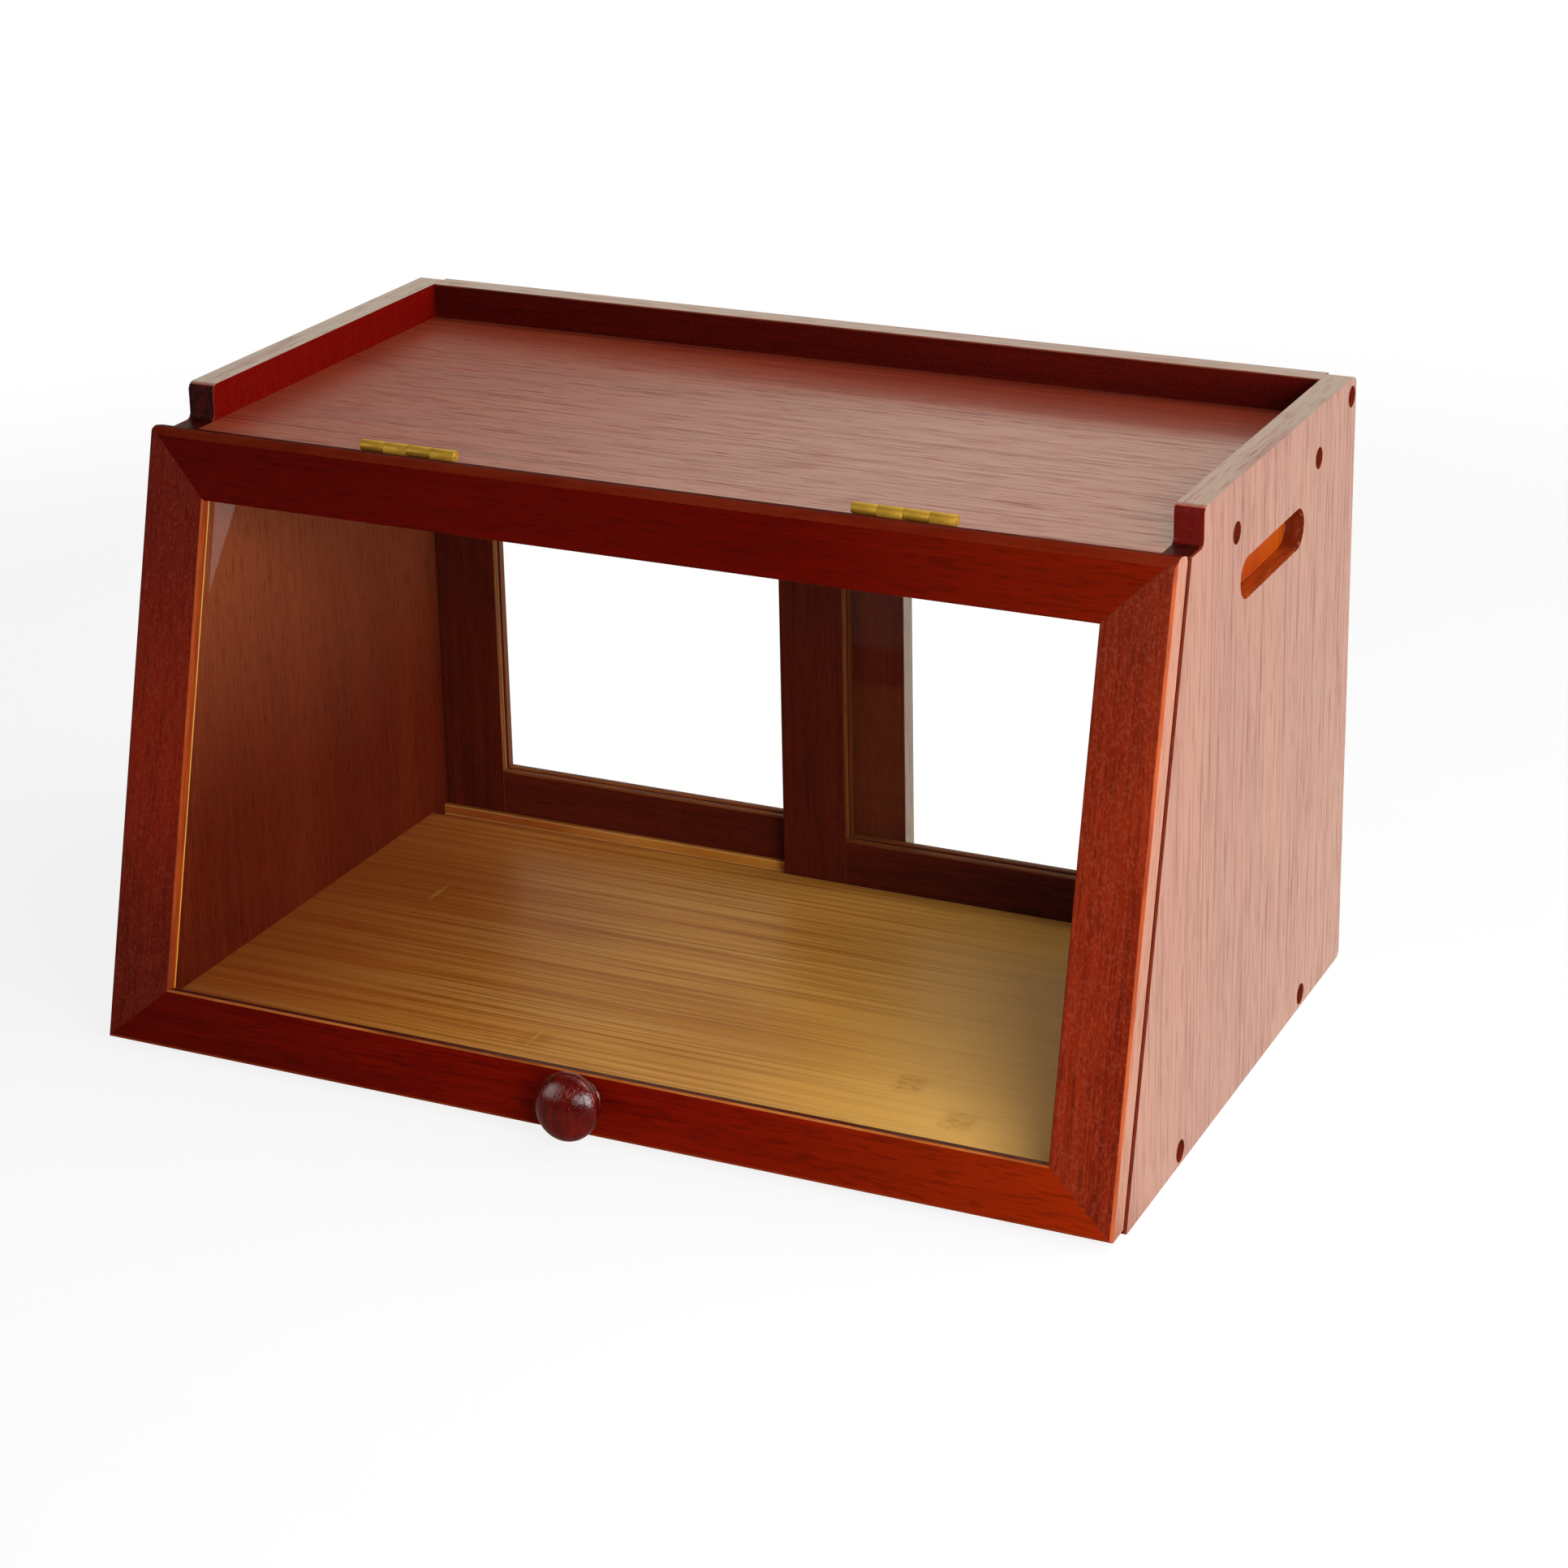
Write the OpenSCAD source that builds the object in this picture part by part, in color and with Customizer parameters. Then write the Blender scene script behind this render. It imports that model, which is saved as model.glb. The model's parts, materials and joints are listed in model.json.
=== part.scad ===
// Bread box: a slant-front wooden cabinet with a raised tray top. A framed clear flap lifts at the
// front on two brass butt hinges. Two framed clear sliders run past each other at the back.
// X is across the front, Y is front to back, Z is up. The origin lies on the table, midway between
// the sides and midway between the knob's front and the rear edges.

/* [Carcass] */
// Width over the two side panels
body_w = 390; // [300:1:480]
// Thickness of a side panel
side_t = 10.5; // [9:0.5:14]
// Height of the side panels at the rear
side_h = 230; // [200:1:300]
// Distance from the origin to the rear edges
rear_y = 130; // [125:1:180]
// Distance from the origin forward to the foot of the slanted edges
foot_y = 102; // [90:1:130]
// Angle of the slanted front from upright
slant = 14; // [8:0.5:18]
// Height that the rails stand above the top board
rail_h = 13.5; // [10:0.5:20]
// Depth of the step between the slanted edge and the front of a rail
step_d = 11.5; // [10:0.5:14]
// Radius of the small outline corners of a side panel
corner_r = 3; // [1:0.5:5]
// Radius of the cove in the step of a side panel
cove_r = 2.5; // [1:0.5:4]
// Thickness of the top board
board_t = 11; // [10:0.5:14]
// Thickness of the bamboo floor board
floor_t = 10; // [9:0.5:14]
// Thickness of the back rail
back_rail_t = 10; // [6:0.5:12]

/* [Handle recesses] */
// Length of a handle recess
grip_l = 69.5; // [50:0.5:90]
// Height of a handle recess
grip_h = 15; // [10:0.5:22]
// Depth of a handle recess, which is blind
grip_d = 7; // [5:0.5:8]
// Recess centre behind the origin
grip_y = 36.5; // [30:0.5:50]
// Recess centre below the top board's surface
grip_drop = 25; // [24:0.5:60]

/* [Flap] */
// Height of the flap's upper edge over the front edge of the top board, along the slope
flap_rise = 0.9; // [0.5:0.1:2]
// Thickness of the flap frame
flap_t = 10; // [8:0.5:12]
// Gap between the slanted edges and the shut flap, filled by the hinge
flap_gap = 4; // [3.6:0.1:5]
// Width of a flap stile
flap_stile_w = 24.5; // [18:0.5:40]
// Width of the flap's top rail
flap_top_w = 24.5; // [18:0.5:40]
// Width of the flap's bottom rail
flap_bottom_w = 21.5; // [18:0.5:40]
// Radius of the rounded front of the flap's upper edge
flap_top_r = 4.5; // [2:0.5:5]
// Radius of the rounded back of the flap's upper edge
flap_back_r = 2.5; // [0.5:0.5:3]
// Radius of the rounded front edges at the flap's sides and bottom
flap_round_r = 1.5; // [0.5:0.5:3]
// Radius of the eased front edges around the flap's opening
flap_ease_r = 1; // [0.5:0.1:1.5]
// Width of the rebate that holds the flap pane
rebate_w = 5; // [3:0.5:8]
// Depth of that rebate from the back
rebate_d = 5.7; // [2.5:0.1:6.5]
// Thickness of the flap pane
flap_pane_t = 2.5; // [1.5:0.5:3]

/* [Knob] */
// Diameter of the knob's head
knob_d = 24; // [20:1:30]
// Distance that the knob stands out from the flap
knob_l = 17.2; // [15.5:0.1:24]
// Distance of the head's widest line from the flap
knob_brim = 11; // [10:0.5:13]
// Depth of the head behind its widest line
knob_under = 4.5; // [3:0.5:5]
// Diameter of the knob's foot
knob_foot_d = 16; // [14:0.5:16]
// Thickness of the knob's foot
knob_foot_h = 2.2; // [1.5:0.1:2.5]
// Diameter of the ring on the knob's neck
knob_ring_d = 13.5; // [12:0.5:14]
// Thickness of that ring
knob_ring_h = 1.6; // [1:0.1:1.8]
// Distance of that ring from the flap
knob_ring_z = 3.2; // [2.6:0.1:3.6]
// Diameter of the knob's neck
knob_neck_d = 11; // [9:0.5:11.5]
// Height of the knob's centre above the flap's lower edge, along the slope
knob_rise = 12; // [11:0.5:13]
// Diameter of the knob screw
knob_screw_d = 4; // [3:0.5:5]
// Depth that the knob screw goes into the knob
knob_screw_grip = 9; // [6:0.5:11]
// Diameter of the knob screw's head
knob_head_d = 8; // [6:0.5:9]

/* [Hinges] */
// Length of a hinge barrel
hinge_l = 38; // [30:1:60]
// Centre of the left hinge from the middle of the box
hinge_left_x = -95; // [-130:1:-60]
// Centre of the right hinge from the middle of the box
hinge_right_x = 95; // [60:1:130]
// Thickness of a hinge leaf
leaf_t = 1; // [0.8:0.1:1.2]
// Length of a leaf from the pin's axis to its free edge
leaf_reach = 12.5; // [10:0.5:13]
// Diameter of the hinge pin
pin_d = 2; // [1.4:0.1:2]
// Height of the pin's axis over the flap's upper edge, along the slope
pin_over = 1.6; // [1:0.1:3]
// Diameter of a hinge screw
hinge_screw_d = 2; // [1.6:0.1:2.4]
// Diameter of a hinge screw's head
hinge_head_d = 3.8; // [3:0.1:4]
// Length of a hinge screw
hinge_screw_l = 8; // [6:0.5:8]
// Width of the arms of the cross in a hinge screw's head
hinge_cross_w = 0.6; // [0.4:0.1:0.8]
// Depth of that cross
hinge_cross_d = 0.6; // [0.3:0.1:0.9]
// Distance of a hinge screw from the end of its leaf
hinge_screw_in = 7; // [5:0.5:10]

/* [Rear sliders] */
// Overlap of the two sliders at the middle
slider_overlap = 47.6; // [30:0.1:70]
// Thickness of a slider frame
slider_t = 9; // [7:0.5:10]
// Width of a slider stile
slider_stile_w = 27; // [20:0.5:40]
// Height of a slider's top rail
slider_top_w = 22; // [16:0.5:40]
// Height of a slider's bottom rail
slider_bottom_w = 22; // [16:0.5:40]
// Thickness of a slider pane
slider_pane_t = 2; // [1.5:0.5:3]
// Depth of the groove that holds a slider pane
pane_groove_d = 5; // [3:0.5:8]
// Depth of the tracks in the floor board
track_floor_d = 4; // [2:0.5:5]
// Depth of the tracks in the top board
track_top_d = 7; // [5:0.5:7.5]
// Thickness of the wall between the two tracks
track_wall = 2.5; // [2:0.5:4]
// Width of the wall behind the rear track
track_lip = 10; // [8:0.5:14]
// Height that a slider stands above the floor of its track
slider_lift = 0.3; // [0.3:0.1:0.5]

/* [Panel screws] */
// Diameter of the counterbores in the side panels
bore_d = 8; // [7:0.5:9]
// Depth of the counterbores
bore_depth = 6; // [4:0.5:7]
// Diameter of a panel screw's head
screw_head_d = 7; // [6:0.5:8]
// Height of a panel screw's head
screw_head_h = 2.5; // [2:0.5:3]
// Width of the arms of the cross in a panel screw's or the knob screw's head
cross_w = 1; // [0.6:0.1:1.2]
// Depth of that cross
cross_d = 1.2; // [0.8:0.1:1.5]
// Diameter of a panel screw's shank
screw_d = 3.5; // [3:0.5:4]
// Length of a panel screw's shank
screw_l = 28; // [20:1:40]
// Front floor screw, behind the origin
floor_screw_front = -50; // [-60:1:-20]
// Rear floor screw, behind the origin
floor_screw_rear = 82; // [60:1:90]
// Front top board screw, behind the origin
board_screw_front = -3; // [-20:1:20]
// Rear top board screw, behind the origin
board_screw_rear = 87; // [60:1:92]

/* [Clearances] */
// Play on each side of a slider in its track
track_play = 0.3; // [0.3:0.05:0.5]
// Play at each end of a slider between the side panels
end_play = 0.3; // [0.3:0.05:0.5]
// Play around a pane in its rebate or groove
pane_play = 0.25; // [0.1:0.05:0.5]
// Radial play of a screw shank in its hole
shank_play = 0.1; // [0.05:0.05:0.3]
// Free depth past the end of a screw
blind_play = 1; // [0.5:0.5:2]
// Gap between the knob screw's head, which stops the flap, and the floor board
stop_play = 0.3; // [0.1:0.05:0.5]
// Radial play of the hinge pin in the knuckles
pin_play = 0.05; // [0.02:0.01:0.09]
// Gap between neighbouring knuckles
knuckle_play = 0.3; // [0.2:0.05:0.5]

/* [Hidden] */
$fn = 48;

stain = [0.36, 0.07, 0.04];
stain_bright = [0.55, 0.16, 0.06];
bamboo = [0.66, 0.45, 0.21];
clear = [0.85, 0.93, 0.95, 0.35];
brass = [0.72, 0.58, 0.18];
steel = [0.6, 0.6, 0.62];

// Overshoot of a cutting shape past the face that it cuts
cut = 1;

// Carcass
inner_w = body_w - 2 * side_t;
board_top = side_h - rail_h;
board_bottom = board_top - board_t;
grip_z = board_top - grip_drop;
back_rail_y = rear_y - back_rail_t;
rail_z = board_top + rail_h / 2;
step_y = edge_y(board_top) + step_d;

// Flap, in its own sloping frame: Y = 0 is the plane of the slanted edges, and Z runs up the slope
board_edge_top = board_top / cos(slant);
board_edge_bottom = board_bottom / cos(slant);
flap_h = board_edge_top + flap_rise;
flap_x = body_w / 2;
open_x = flap_x - flap_stile_w;
open_top = flap_h - flap_top_w;
flap_back = -flap_gap;
flap_front = -flap_gap - flap_t;
pin_y = -flap_gap / 2;
pin_s = flap_h + pin_over;
knuckle_count = 4;
knuckle_d = flap_gap;
knuckle_l = hinge_l / knuckle_count;
leaf_low = pin_s - leaf_reach;
hinge_screw_s = (board_edge_bottom + board_edge_top) / 2;
hinge_head_h = (hinge_head_d - hinge_screw_d) / 2;
knob_head_h = flap_gap - stop_play;

// Sliders and tracks
track_w = slider_t + 2 * track_play;
rear_track_y = rear_y - track_lip - track_w;
front_track_y = rear_track_y - track_wall - track_w;
slider_z = floor_t - track_floor_d + slider_lift;
slider_top_z = board_bottom + track_top_d - track_floor_d - slider_lift;
slider_h = slider_top_z - slider_z;
slider_w = (inner_w - 2 * end_play + slider_overlap) / 2;
left_slider_x = -inner_w / 2 + end_play;
right_slider_x = inner_w / 2 - end_play - slider_w;

// Panel screws, as distances behind the origin and heights
panel_screws = [
    [floor_screw_front, floor_t / 2],
    [floor_screw_rear, floor_t / 2],
    [board_screw_front, board_top - board_t / 2],
    [board_screw_rear, board_top - board_t / 2],
    [rear_y - back_rail_t / 2, rail_z]
];

// Y of the slanted front edge at a height above the table
function edge_y(z) = -foot_y + z * tan(slant);

// Shape that rounds a square corner at the origin by r, where the solid lies towards +X and +Y
module corner_cut(r)
    difference() {
        translate([-cut, -cut]) square(r + cut);
        translate([r, r]) circle(r);
    }

// Extrudes an outline of [Y, Z] points along X, centred on x
module along_x(x, l)
    translate([x - l / 2, 0, 0])
        rotate([90, 0, 90])
            linear_extrude(l) children();

// A cylinder along X that starts at x
module rod_x(x, y, z, d, l)
    translate([x, y, z])
        rotate([0, 90, 0])
            cylinder(d = d, h = l);

// Leans the flap's own frame back onto the slanted edges
module on_slope()
    translate([0, -foot_y, 0])
        rotate([-slant, 0, 0]) children();

// The [Y, Z] outline of a side panel: slanted front, stepped at the top, rounded corners
module side_outline()
    difference() {
        union() {
            polygon([
                [-foot_y, 0], [rear_y, 0], [rear_y, side_h], [step_y, side_h],
                [step_y, board_top], [edge_y(board_top), board_top]
            ]);
            translate([step_y - cove_r, board_top])
                difference() {
                    square(cove_r + cut);
                    translate([0, cove_r]) circle(cove_r);
                    translate([-cut, cove_r]) square(2 * cove_r);
                }
        }
        translate([rear_y, 0]) mirror([1, 0]) corner_cut(corner_r);
        translate([rear_y, side_h]) rotate(180) corner_cut(corner_r);
        translate([step_y, side_h]) mirror([0, 1]) corner_cut(corner_r);
    }

// The stadium outline of a handle recess
module grip_outline() {
    reach = (grip_l - grip_h) / 2;
    translate([grip_y, grip_z]) {
        square([2 * reach, grip_h], center = true);
        for (side = [-1, 1])
            translate([side * reach, 0]) circle(d = grip_h);
    }
}

// Places a shape at a counterbore's floor, pointing out of the side; dir is -1 left, 1 right
module at_seat(dir, p)
    translate([dir * (body_w / 2 - bore_depth), p[0], p[1]])
        rotate([0, dir * 90, 0]) children();

module side_panel(dir)
    color(stain)
    difference() {
        along_x(dir * (body_w - side_t) / 2, side_t) side_outline();
        along_x(dir * (body_w - grip_d + cut) / 2, grip_d + cut) grip_outline();
        for (p = panel_screws)
            at_seat(dir, p) {
                cylinder(d = bore_d, h = bore_depth + cut);
                translate([0, 0, -side_t]) cylinder(d = screw_d + 2 * shank_play, h = side_t + cut);
            }
    }

module left_side_panel() side_panel(-1);
module right_side_panel() side_panel(1);

// Pilot holes for the listed panel screws in both ends of a board
module pilot_holes(list)
    for (p = list)
        for (dir = [-1, 1])
            at_seat(dir, p)
                translate([0, 0, -screw_l - blind_play])
                    cylinder(d = screw_d + 2 * shank_play, h = screw_l);

// Both slider tracks as cutting bars of the given bottom and top
module tracks(bottom, top)
    for (y = [front_track_y, rear_track_y])
        translate([-inner_w / 2 - cut, y, bottom])
            cube([inner_w + 2 * cut, track_w, top - bottom]);

module top_board()
    color(stain)
    difference() {
        along_x(0, inner_w)
            polygon([
                [edge_y(board_bottom), board_bottom], [rear_y, board_bottom],
                [rear_y, board_top], [edge_y(board_top), board_top]
            ]);
        tracks(board_bottom - cut, board_bottom + track_top_d);
        pilot_holes([panel_screws[2], panel_screws[3]]);
        on_slope() board_screw_holes();
    }

module floor_board()
    color(bamboo)
    difference() {
        along_x(0, inner_w)
            polygon([[edge_y(0), 0], [rear_y, 0], [rear_y, floor_t], [edge_y(floor_t), floor_t]]);
        tracks(floor_t - track_floor_d, floor_t + cut);
        pilot_holes([panel_screws[0], panel_screws[1]]);
    }

module back_rail()
    color(stain)
    difference() {
        translate([-inner_w / 2, back_rail_y, board_top])
            cube([inner_w, back_rail_t, rail_h]);
        pilot_holes([panel_screws[4]]);
    }

// Cross recess of span d, arm width w and the given depth, cut down from the origin
module cross_cut(d, w, depth)
    for (turn = [0, 90])
        rotate(turn)
            translate([-d / 2, -w / 2, -depth])
                cube([d, w, depth + cut]);

// The five screws of one side, sunk in their counterbores
module panel_screw_set(dir)
    color(steel)
    for (p = panel_screws)
        at_seat(dir, p)
            difference() {
                union() {
                    cylinder(d = screw_head_d, h = screw_head_h);
                    translate([0, 0, -screw_l]) cylinder(d = screw_d, h = screw_l + cut);
                }
                translate([0, 0, screw_head_h]) cross_cut(screw_d, cross_w, cross_d);
            }

module left_panel_screws() panel_screw_set(-1);
module right_panel_screws() panel_screw_set(1);

// Section of a flap member of width w, from its outer edge at 0 inwards: [across, out of the flap]
module flap_section(w)
    difference() {
        polygon([
            [0, flap_back], [0, flap_front], [w, flap_front], [w, flap_back - rebate_d],
            [w - rebate_w, flap_back - rebate_d], [w - rebate_w, flap_back]
        ]);
        translate([w, flap_front]) mirror([1, 0]) corner_cut(flap_ease_r);
    }

// The whole flap's slab as seen from its side: [out of the flap, up the slope]
module flap_side_outline()
    difference() {
        polygon([
            [flap_front, 0], [flap_back, flap_t * tan(slant)],
            [flap_back, flap_h], [flap_front, flap_h]
        ]);
        translate([flap_front, 0]) corner_cut(flap_round_r);
        translate([flap_front, flap_h]) mirror([0, 1]) corner_cut(flap_top_r);
        translate([flap_back, flap_h]) rotate(180) corner_cut(flap_back_r);
    }

// The same slab as seen along its slope: [X, out of the flap]
module flap_end_outline()
    difference() {
        translate([-flap_x, flap_front]) square([body_w, flap_t]);
        translate([-flap_x, flap_front]) corner_cut(flap_round_r);
        translate([flap_x, flap_front]) mirror([1, 0]) corner_cut(flap_round_r);
    }

// Cuts a flap member from its section's bar: rounds it with the whole slab and mitres its ends.
// points outline the member in the flap's plane: [X, up the slope]
module flap_member(points)
    intersection() {
        children();
        along_x(0, body_w) flap_side_outline();
        linear_extrude(flap_h) flap_end_outline();
        translate([0, cut, 0])
            rotate([90, 0, 0])
                linear_extrude(flap_gap + flap_t + 2 * cut) polygon(points);
    }

// A bar of a flap member's section along X, with its outer edge at the bottom
module flap_bar(w)
    rotate([0, -90, 0])
        translate([0, 0, -flap_x])
            linear_extrude(body_w) flap_section(w);

module flap_top_rail()
    on_slope()
        color(stain)
        difference() {
            flap_member([
                [-flap_x, flap_h], [-open_x, open_top], [open_x, open_top], [flap_x, flap_h]
            ])
                translate([0, 0, flap_h]) mirror([0, 0, 1]) flap_bar(flap_top_w);
            flap_screw_holes();
        }

module flap_bottom_rail()
    on_slope()
        color(stain)
        difference() {
            flap_member([
                [-flap_x, 0], [flap_x, 0], [open_x, flap_bottom_w], [-open_x, flap_bottom_w]
            ])
                flap_bar(flap_bottom_w);
            translate([0, flap_back + cut, knob_rise])
                rotate([90, 0, 0])
                    cylinder(d = knob_screw_d + 2 * shank_play, h = flap_t + 2 * cut);
        }

module flap_stile(dir)
    on_slope()
        color(stain)
        flap_member([
            [dir * flap_x, 0], [dir * flap_x, flap_h],
            [dir * open_x, open_top], [dir * open_x, flap_bottom_w]
        ])
            mirror([dir > 0 ? 1 : 0, 0, 0])
                translate([-flap_x, 0, 0])
                    linear_extrude(flap_h) flap_section(flap_stile_w);

module flap_left_stile() flap_stile(-1);
module flap_right_stile() flap_stile(1);

module flap_pane() {
    grow = rebate_w - pane_play;
    on_slope()
        color(clear)
        translate([-open_x - grow, flap_back - rebate_d, flap_bottom_w - grow])
            cube([2 * (open_x + grow), flap_pane_t, open_top - flap_bottom_w + 2 * grow]);
}

// Half outline of a disc of diameter d with a rounded rim: [radius, height]
module disc_outline(d, h) {
    square([(d - h) / 2, h]);
    translate([(d - h) / 2, h / 2])
        intersection() {
            circle(d = h);
            translate([-cut, -h / 2]) square([h / 2 + cut, h]);
        }
}

// Half outline of the turned knob: [radius, distance from the flap]
module knob_outline() {
    neck_r = knob_neck_d / 2;
    head_r = knob_d / 2;
    crown = knob_l - knob_brim;
    difference() {
        union() {
            disc_outline(knob_foot_d, knob_foot_h);
            translate([0, knob_ring_z]) disc_outline(knob_ring_d, knob_ring_h);
            square([neck_r, knob_brim]);
            polygon(concat(
                [[0, knob_brim - knob_under]],
                [for (a = [-90:6:0]) [
                    neck_r + (head_r - neck_r) * cos(a),
                    knob_brim + knob_under * sin(a)
                ]],
                [for (a = [6:6:90]) [head_r * cos(a), knob_brim + crown * sin(a)]]
            ));
        }
        translate([-cut, -cut])
            square([
                knob_screw_d / 2 + shank_play + cut, knob_screw_grip + blind_play + cut
            ]);
    }
}

// Turns a shape that points up so that it points out of the flap, at the knob
module at_knob(y)
    on_slope()
        translate([0, y, knob_rise])
            rotate([90, 0, 0]) children();

module flap_knob()
    color(stain_bright)
    at_knob(flap_front)
        rotate_extrude() knob_outline();

module knob_screw()
    color(steel)
    at_knob(flap_back)
        difference() {
            union() {
                translate([0, 0, -knob_head_h]) cylinder(d = knob_head_d, h = knob_head_h);
                translate([0, 0, -knob_head_h])
                    cylinder(d = knob_screw_d, h = knob_head_h + flap_t + knob_screw_grip);
            }
            translate([0, 0, -knob_head_h])
                mirror([0, 0, 1]) cross_cut(knob_screw_d, cross_w, cross_d);
        }

// X of the start of a knuckle on a hinge that is centred on x
function knuckle_x(x, i) = x - hinge_l / 2 + i * knuckle_l;

// A hinge leaf with its knuckles: side is 1 on the board and -1 on the flap, first is its knuckle
module leaf(x, side, first) {
    plate_y = side > 0 ? -leaf_t : flap_back;
    notch = knuckle_d + 2 * knuckle_play;
    on_slope()
        color(brass)
        difference() {
            union() {
                translate([x - hinge_l / 2, plate_y, leaf_low])
                    cube([hinge_l, leaf_t, leaf_reach]);
                for (i = [first:2:knuckle_count - 1])
                    rod_x(knuckle_x(x, i), pin_y, pin_s, knuckle_d, knuckle_l);
            }
            for (i = [1 - first:2:knuckle_count - 1])
                translate([knuckle_x(x, i) - knuckle_play / 2, pin_y - notch, pin_s - notch / 2])
                    cube([knuckle_l + knuckle_play, 2 * notch, notch]);
            rod_x(x - hinge_l / 2 - cut, pin_y, pin_s, pin_d + 2 * pin_play, hinge_l + 2 * cut);
            if (side > 0) board_screw_holes();
            else flap_screw_holes();
        }
}

module left_hinge_board_leaf() leaf(hinge_left_x, 1, 0);
module left_hinge_flap_leaf() leaf(hinge_left_x, -1, 1);
module right_hinge_board_leaf() leaf(hinge_right_x, 1, 0);
module right_hinge_flap_leaf() leaf(hinge_right_x, -1, 1);

module hinge_pin(x)
    on_slope()
        color(brass)
        rod_x(x - hinge_l / 2, pin_y, pin_s, pin_d, hinge_l);

module left_hinge_pin() hinge_pin(hinge_left_x);
module right_hinge_pin() hinge_pin(hinge_right_x);

// One countersunk screw with its head's face at the origin, pointing along +Z
module hinge_screw()
    difference() {
        union() {
            cylinder(d1 = hinge_head_d, d2 = hinge_screw_d, h = hinge_head_h);
            cylinder(d = hinge_screw_d, h = hinge_screw_l);
        }
        mirror([0, 0, 1]) cross_cut(hinge_screw_d, hinge_cross_w, hinge_cross_d);
    }

// The hole for such a screw
module hinge_screw_hole() {
    hole_d = hinge_screw_d + 2 * shank_play;
    sink_d = hinge_head_d + 2 * shank_play;
    translate([0, 0, -cut]) cylinder(d = sink_d, h = cut);
    cylinder(d1 = sink_d, d2 = hole_d, h = hinge_head_h);
    translate([0, 0, -cut]) cylinder(d = hole_d, h = hinge_screw_l + blind_play + cut);
}

// Places the four screws of one side's leaves, in the flap's frame
module at_hinge_screws(side)
    for (x = [hinge_left_x, hinge_right_x])
        for (end = [-1, 1])
            translate([
                x + end * (hinge_l / 2 - hinge_screw_in),
                side > 0 ? -leaf_t : flap_back + leaf_t,
                hinge_screw_s
            ])
                rotate([-side * 90, 0, 0]) children();

module flap_screw_holes() at_hinge_screws(-1) hinge_screw_hole();
module board_screw_holes() at_hinge_screws(1) hinge_screw_hole();

module hinge_board_screws()
    on_slope()
        color(brass) at_hinge_screws(1) hinge_screw();

module hinge_flap_screws()
    on_slope()
        color(brass) at_hinge_screws(-1) hinge_screw();

// Front face of a slider: 0 is the left slider in the rear track, 1 the right one in the front
function slider_y(i) = (i == 0 ? rear_track_y : front_track_y) + track_play;
function slider_x(i) = i == 0 ? left_slider_x : right_slider_x;
pane_y = (slider_t - slider_pane_t) / 2;
window_w = slider_w - 2 * slider_stile_w;
window_h = slider_h - slider_bottom_w - slider_top_w;

// The room for a pane and its play in a slider's own frame, with the origin at its lower left front
module pane_room(play)
    translate([
        slider_stile_w - pane_groove_d + play,
        pane_y - pane_play + play,
        slider_bottom_w - pane_groove_d + play
    ])
        cube([
            window_w + 2 * (pane_groove_d - play),
            slider_pane_t + 2 * (pane_play - play),
            window_h + 2 * (pane_groove_d - play)
        ]);

// Places a slider's own frame
module at_slider(i)
    translate([slider_x(i), slider_y(i), slider_z]) children();

// One member of a slider frame, grooved for the pane
module slider_member(i, x, z, w, h)
    at_slider(i)
        color(stain)
        difference() {
            translate([x, 0, z]) cube([w, slider_t, h]);
            pane_room(0);
        }

module slider_top_rail(i)
    slider_member(i, slider_stile_w, slider_h - slider_top_w, window_w, slider_top_w);
module slider_bottom_rail(i) slider_member(i, slider_stile_w, 0, window_w, slider_bottom_w);
module slider_left_stile(i) slider_member(i, 0, 0, slider_stile_w, slider_h);
module slider_right_stile(i)
    slider_member(i, slider_w - slider_stile_w, 0, slider_stile_w, slider_h);
module slider_pane(i)
    at_slider(i)
        color(clear) pane_room(pane_play);

module left_slider_top_rail() slider_top_rail(0);
module left_slider_bottom_rail() slider_bottom_rail(0);
module left_slider_left_stile() slider_left_stile(0);
module left_slider_right_stile() slider_right_stile(0);
module left_slider_pane() slider_pane(0);
module right_slider_top_rail() slider_top_rail(1);
module right_slider_bottom_rail() slider_bottom_rail(1);
module right_slider_left_stile() slider_left_stile(1);
module right_slider_right_stile() slider_right_stile(1);
module right_slider_pane() slider_pane(1);

left_side_panel();
right_side_panel();
top_board();
floor_board();
back_rail();
left_panel_screws();
right_panel_screws();
flap_top_rail();
flap_bottom_rail();
flap_left_stile();
flap_right_stile();
flap_pane();
flap_knob();
knob_screw();
left_hinge_board_leaf();
left_hinge_flap_leaf();
left_hinge_pin();
right_hinge_board_leaf();
right_hinge_flap_leaf();
right_hinge_pin();
hinge_board_screws();
hinge_flap_screws();
left_slider_top_rail();
left_slider_bottom_rail();
left_slider_left_stile();
left_slider_right_stile();
left_slider_pane();
right_slider_top_rail();
right_slider_bottom_rail();
right_slider_left_stile();
right_slider_right_stile();
right_slider_pane();
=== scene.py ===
import json
import math

import bmesh
import bpy
from mathutils import Matrix, Vector
from mathutils.bvhtree import BVHTree

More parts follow.
